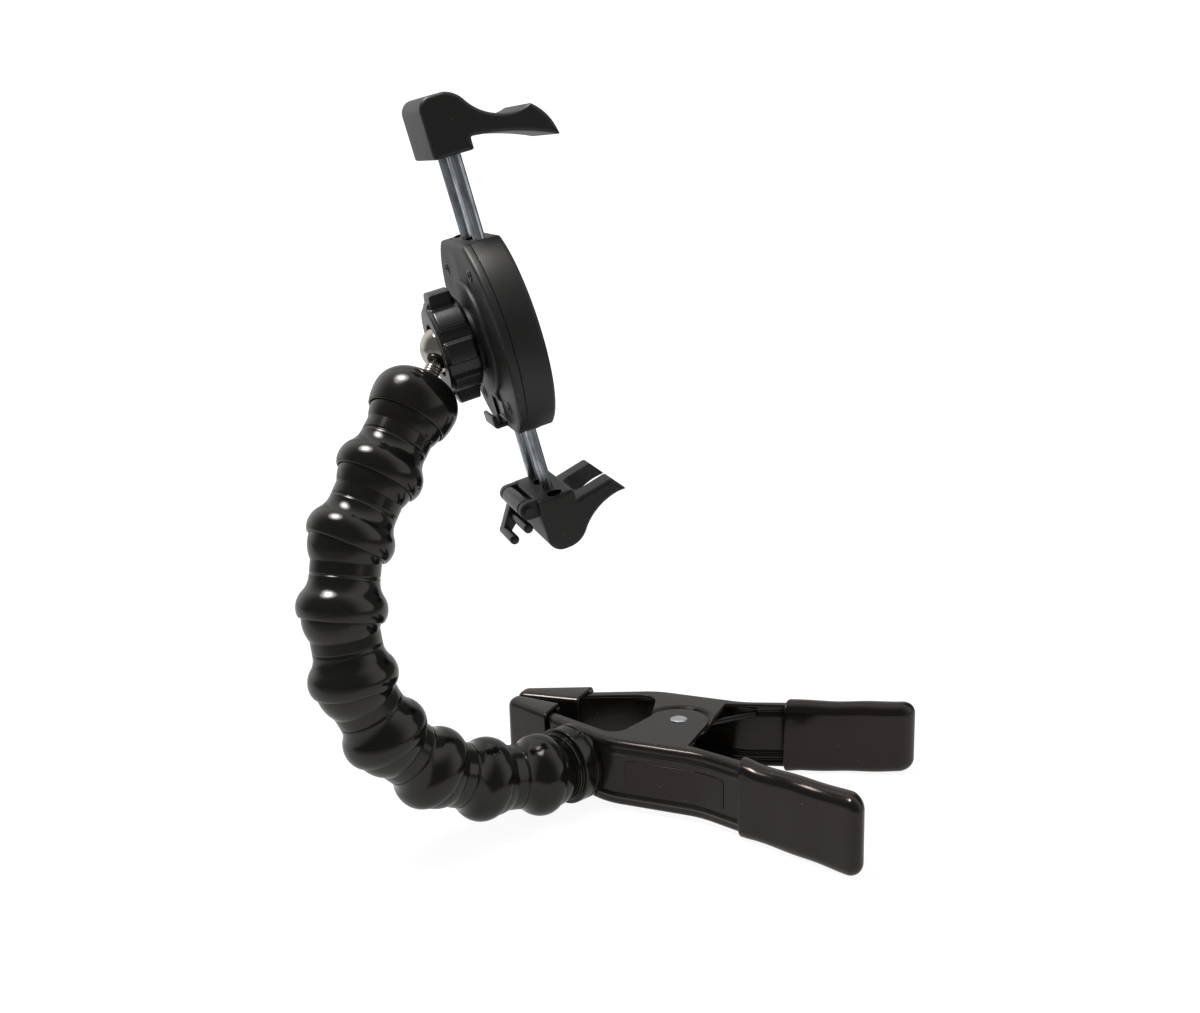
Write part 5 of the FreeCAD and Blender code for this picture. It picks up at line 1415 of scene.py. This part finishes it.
class CLAMPMOUNT_OT_studio(bpy.types.Operator):
    """White sweep, soft lights, room and camera"""
    bl_idname = "clampmount.studio"
    bl_label = "Studio"

    def execute(self, context):
        setting = context.scene.clampmount_stage
        self.sweep(setting)
        self.lights(setting)
        self.room(setting)
        self.camera(setting)
        context.scene.view_settings.view_transform = "Standard"
        return {"FINISHED"}

    def sweep(self, setting):
        """Floor that rises into a backdrop: a straight run, a quarter circle and a wall, carried along x."""
        turn = quarter(setting.backdrop_parts)
        front, back, bend, wall, half = -3.0, 1.6, 1.2, 4.0, 4.0
        curve = np.stack([back + bend * np.sin(turn), bend * (1 - np.cos(turn))], 1)
        run = np.concatenate([[[front, 0.0]], curve, [[back + bend, wall]]])
        points = np.concatenate([np.repeat([-half, half], len(run))[:, None], np.tile(run, (2, 1))], 1)
        step = np.arange(len(run) - 1)
        quads = np.stack([step, step + len(run), step + len(run) + 1, step + 1], 1)
        mesh = bpy.data.meshes.new("white_sweep")
        mesh.from_pydata(points.tolist(), [], quads.tolist())
        mesh.polygons.foreach_set("use_smooth", np.ones(len(quads), bool))
        floor = bpy.data.objects.new("white_sweep", mesh)
        bpy.context.scene.collection.objects.link(floor)
        mesh.materials.append(self.white_paper(setting.paper))

    def white_paper(self, bright):
        """Paper that glows to the camera and in reflections, and keeps the shadow. Reflections see it
        greyer, and dark at the front and the right, as in a dim room. The camera sees it lighter far out."""
        material = bpy.data.materials.new("white_paper")
        material.use_nodes = True
        tree = material.node_tree
        tree.nodes.clear()
        path = node(tree, "ShaderNodeLightPath").outputs
        where = node(tree, "ShaderNodeNewGeometry").outputs["Position"]
        split = node(tree, "ShaderNodeSeparateXYZ", {"Vector": where}).outputs
        near = ranged(tree, split["Y"], 0.92, 0.48, -0.34, -0.12, "SMOOTHSTEP")
        dim = maths(tree, "MAXIMUM", near, ranged(tree, split["X"], 0.48, 0.92, 0.15, 0.40))
        loss = maths(tree, "MULTIPLY", path["Is Glossy Ray"], dim)
        level = maths(tree, "MULTIPLY_ADD", loss, -bright, bright)
        reach = node(tree, "ShaderNodeVectorMath", {0: where}, operation="LENGTH").outputs["Value"]
        far = ranged(tree, reach, 0.0, 0.25, 0.35, 0.9)
        lift = maths(tree, "MULTIPLY_ADD", far, path["Is Camera Ray"], level)
        seen = maths(tree, "MAXIMUM", path["Is Camera Ray"], path["Is Glossy Ray"])
        seen = maths(tree, "MAXIMUM", seen, path["Is Transmission Ray"])
        paper = node(tree, "ShaderNodeBsdfDiffuse", {"Color": (0.92, 0.92, 0.92, 1.0)})
        glow = node(tree, "ShaderNodeEmission", {"Color": (1.0, 1.0, 1.0, 1.0), "Strength": lift})
        glow_share = 0.8
        blend = node(tree, "ShaderNodeMixShader", {"Fac": maths(tree, "MULTIPLY", seen, glow_share),
                                                   1: paper.outputs[0], 2: glow.outputs[0]})
        node(tree, "ShaderNodeOutputMaterial", {"Surface": blend.outputs[0]})
        return material

    def lights(self, setting):
        """A compact soft light overhead, a little to the left and the front: a core, a disc and a halo
        behind one another, so that its reflection fades outwards."""
        spot = np.array([-0.29, -0.21, 0.87])
        aim = np.array([-0.065, -0.05, 0.12])
        behind = 0.02
        back = unit(spot - aim)
        right = unit(np.cross([0.0, 0.0, 1.0] if abs(back[2]) < 0.95 else [0.0, 1.0, 0.0], back))
        for name, share, wide in (("core", 0.22, 0.5), ("disc", 0.34, 1.0), ("halo", 0.44, 1.7)):
            lamp = bpy.data.lights.new("soft_" + name, "AREA")
            lamp.shape = "DISK"
            lamp.size = wide * setting.box_size
            lamp.energy = share * setting.box_power
            stand("soft_" + name, lamp, spot + back * behind * wide, right, np.cross(back, right), back)

    def room(self, setting):
        """White to the camera, a dim room in front of the object and white behind it."""
        world = bpy.data.worlds.new("studio_room")
        bpy.context.scene.world = world
        world.use_nodes = True
        tree = world.node_tree
        tree.nodes.clear()
        where = node(tree, "ShaderNodeTexCoord").outputs["Generated"]
        split = node(tree, "ShaderNodeSeparateXYZ", {"Vector": where}).outputs
        depth = ranged(tree, split["Y"], setting.room, 0.9, -0.55, 0.25, "SMOOTHSTEP")
        path = node(tree, "ShaderNodeLightPath").outputs
        seen = maths(tree, "MAXIMUM", path["Is Camera Ray"], path["Is Transmission Ray"])
        glow = node(tree, "ShaderNodeBackground", {"Color": (1.0, 1.0, 1.0, 1.0),
                                                   "Strength": maths(tree, "MAXIMUM", depth, seen)})
        node(tree, "ShaderNodeOutputWorld", {"Surface": glow.outputs[0]})

    def camera(self, setting):
        """Camera in front of the hose, a little above it, looking down by thirteen degrees and held
        with a slight lean."""
        lens = bpy.data.cameras.new("studio_camera")
        lens.sensor_fit = "HORIZONTAL"
        lens.sensor_width = 36.0
        lens.lens = setting.lens
        lens.clip_start = 0.01
        lens.clip_end = 50.0
        ahead = unit([-0.3955, 0.8907, -0.2240])
        lean = -0.0274
        level = unit(np.cross(ahead, [0.0, 0.0, 1.0]))
        right = level * math.cos(lean) + np.cross(level, ahead) * math.sin(lean)
        spot = clamp_seat()[0] + np.array([0.1586, -0.4234, 0.2117])
        bpy.context.scene.camera = stand("studio_camera", lens, spot, right, np.cross(right, ahead), -ahead)


class CLAMPMOUNT_PT_pieces(bpy.types.Panel):
    """Lists the mount's pieces and settings"""
    bl_idname = "CLAMPMOUNT_PT_pieces"
    bl_label = "Clamp mount"
    bl_space_type = "VIEW_3D"
    bl_region_type = "UI"
    bl_category = "Clamp mount"

    def draw(self, context):
        for operator in OPERATORS:
            self.layout.operator(operator.bl_idname)
        for place, group in SETTINGS.items():
            box = self.layout.box()
            box.label(text=group.__doc__)
            held = getattr(context.scene, place)
            for name in group.__annotations__:
                box.prop(held, name)


OPERATORS = (CLAMPMOUNT_OT_clamp_arms, CLAMPMOUNT_OT_dipped_sleeves, CLAMPMOUNT_OT_rivet_and_spring,
             CLAMPMOUNT_OT_hose, CLAMPMOUNT_OT_ball_joint, CLAMPMOUNT_OT_housing,
             CLAMPMOUNT_OT_sliding_arms, CLAMPMOUNT_OT_cord_clip, CLAMPMOUNT_OT_carried_nodes,
             CLAMPMOUNT_OT_studio)
SETTINGS = {"clampmount_clamp": ClampSizes, "clampmount_hose": HoseSizes, "clampmount_holder": HolderSizes,
            "clampmount_finish": FinishTints, "clampmount_stage": StageSettings}


def register():
    for group in SETTINGS.values():
        bpy.utils.register_class(group)
    for name, group in SETTINGS.items():
        setattr(bpy.types.Scene, name, PointerProperty(type=group))
    for item in OPERATORS + (CLAMPMOUNT_PT_pieces,):
        bpy.utils.register_class(item)


def unregister():
    for item in reversed(OPERATORS + (CLAMPMOUNT_PT_pieces,)):
        bpy.utils.unregister_class(item)
    for name in SETTINGS:
        delattr(bpy.types.Scene, name)
    for group in reversed(list(SETTINGS.values())):
        bpy.utils.unregister_class(group)


def main():
    """Register the classes and make every piece in order."""
    register()
    bpy.ops.clampmount.clamp_arms()
    bpy.ops.clampmount.dipped_sleeves()
    bpy.ops.clampmount.rivet_and_spring()
    bpy.ops.clampmount.hose()
    bpy.ops.clampmount.ball_joint()
    bpy.ops.clampmount.housing()
    bpy.ops.clampmount.sliding_arms()
    bpy.ops.clampmount.cord_clip()
    bpy.ops.clampmount.carried_nodes()
    bpy.ops.clampmount.studio()


if __name__ == "__main__":
    main()
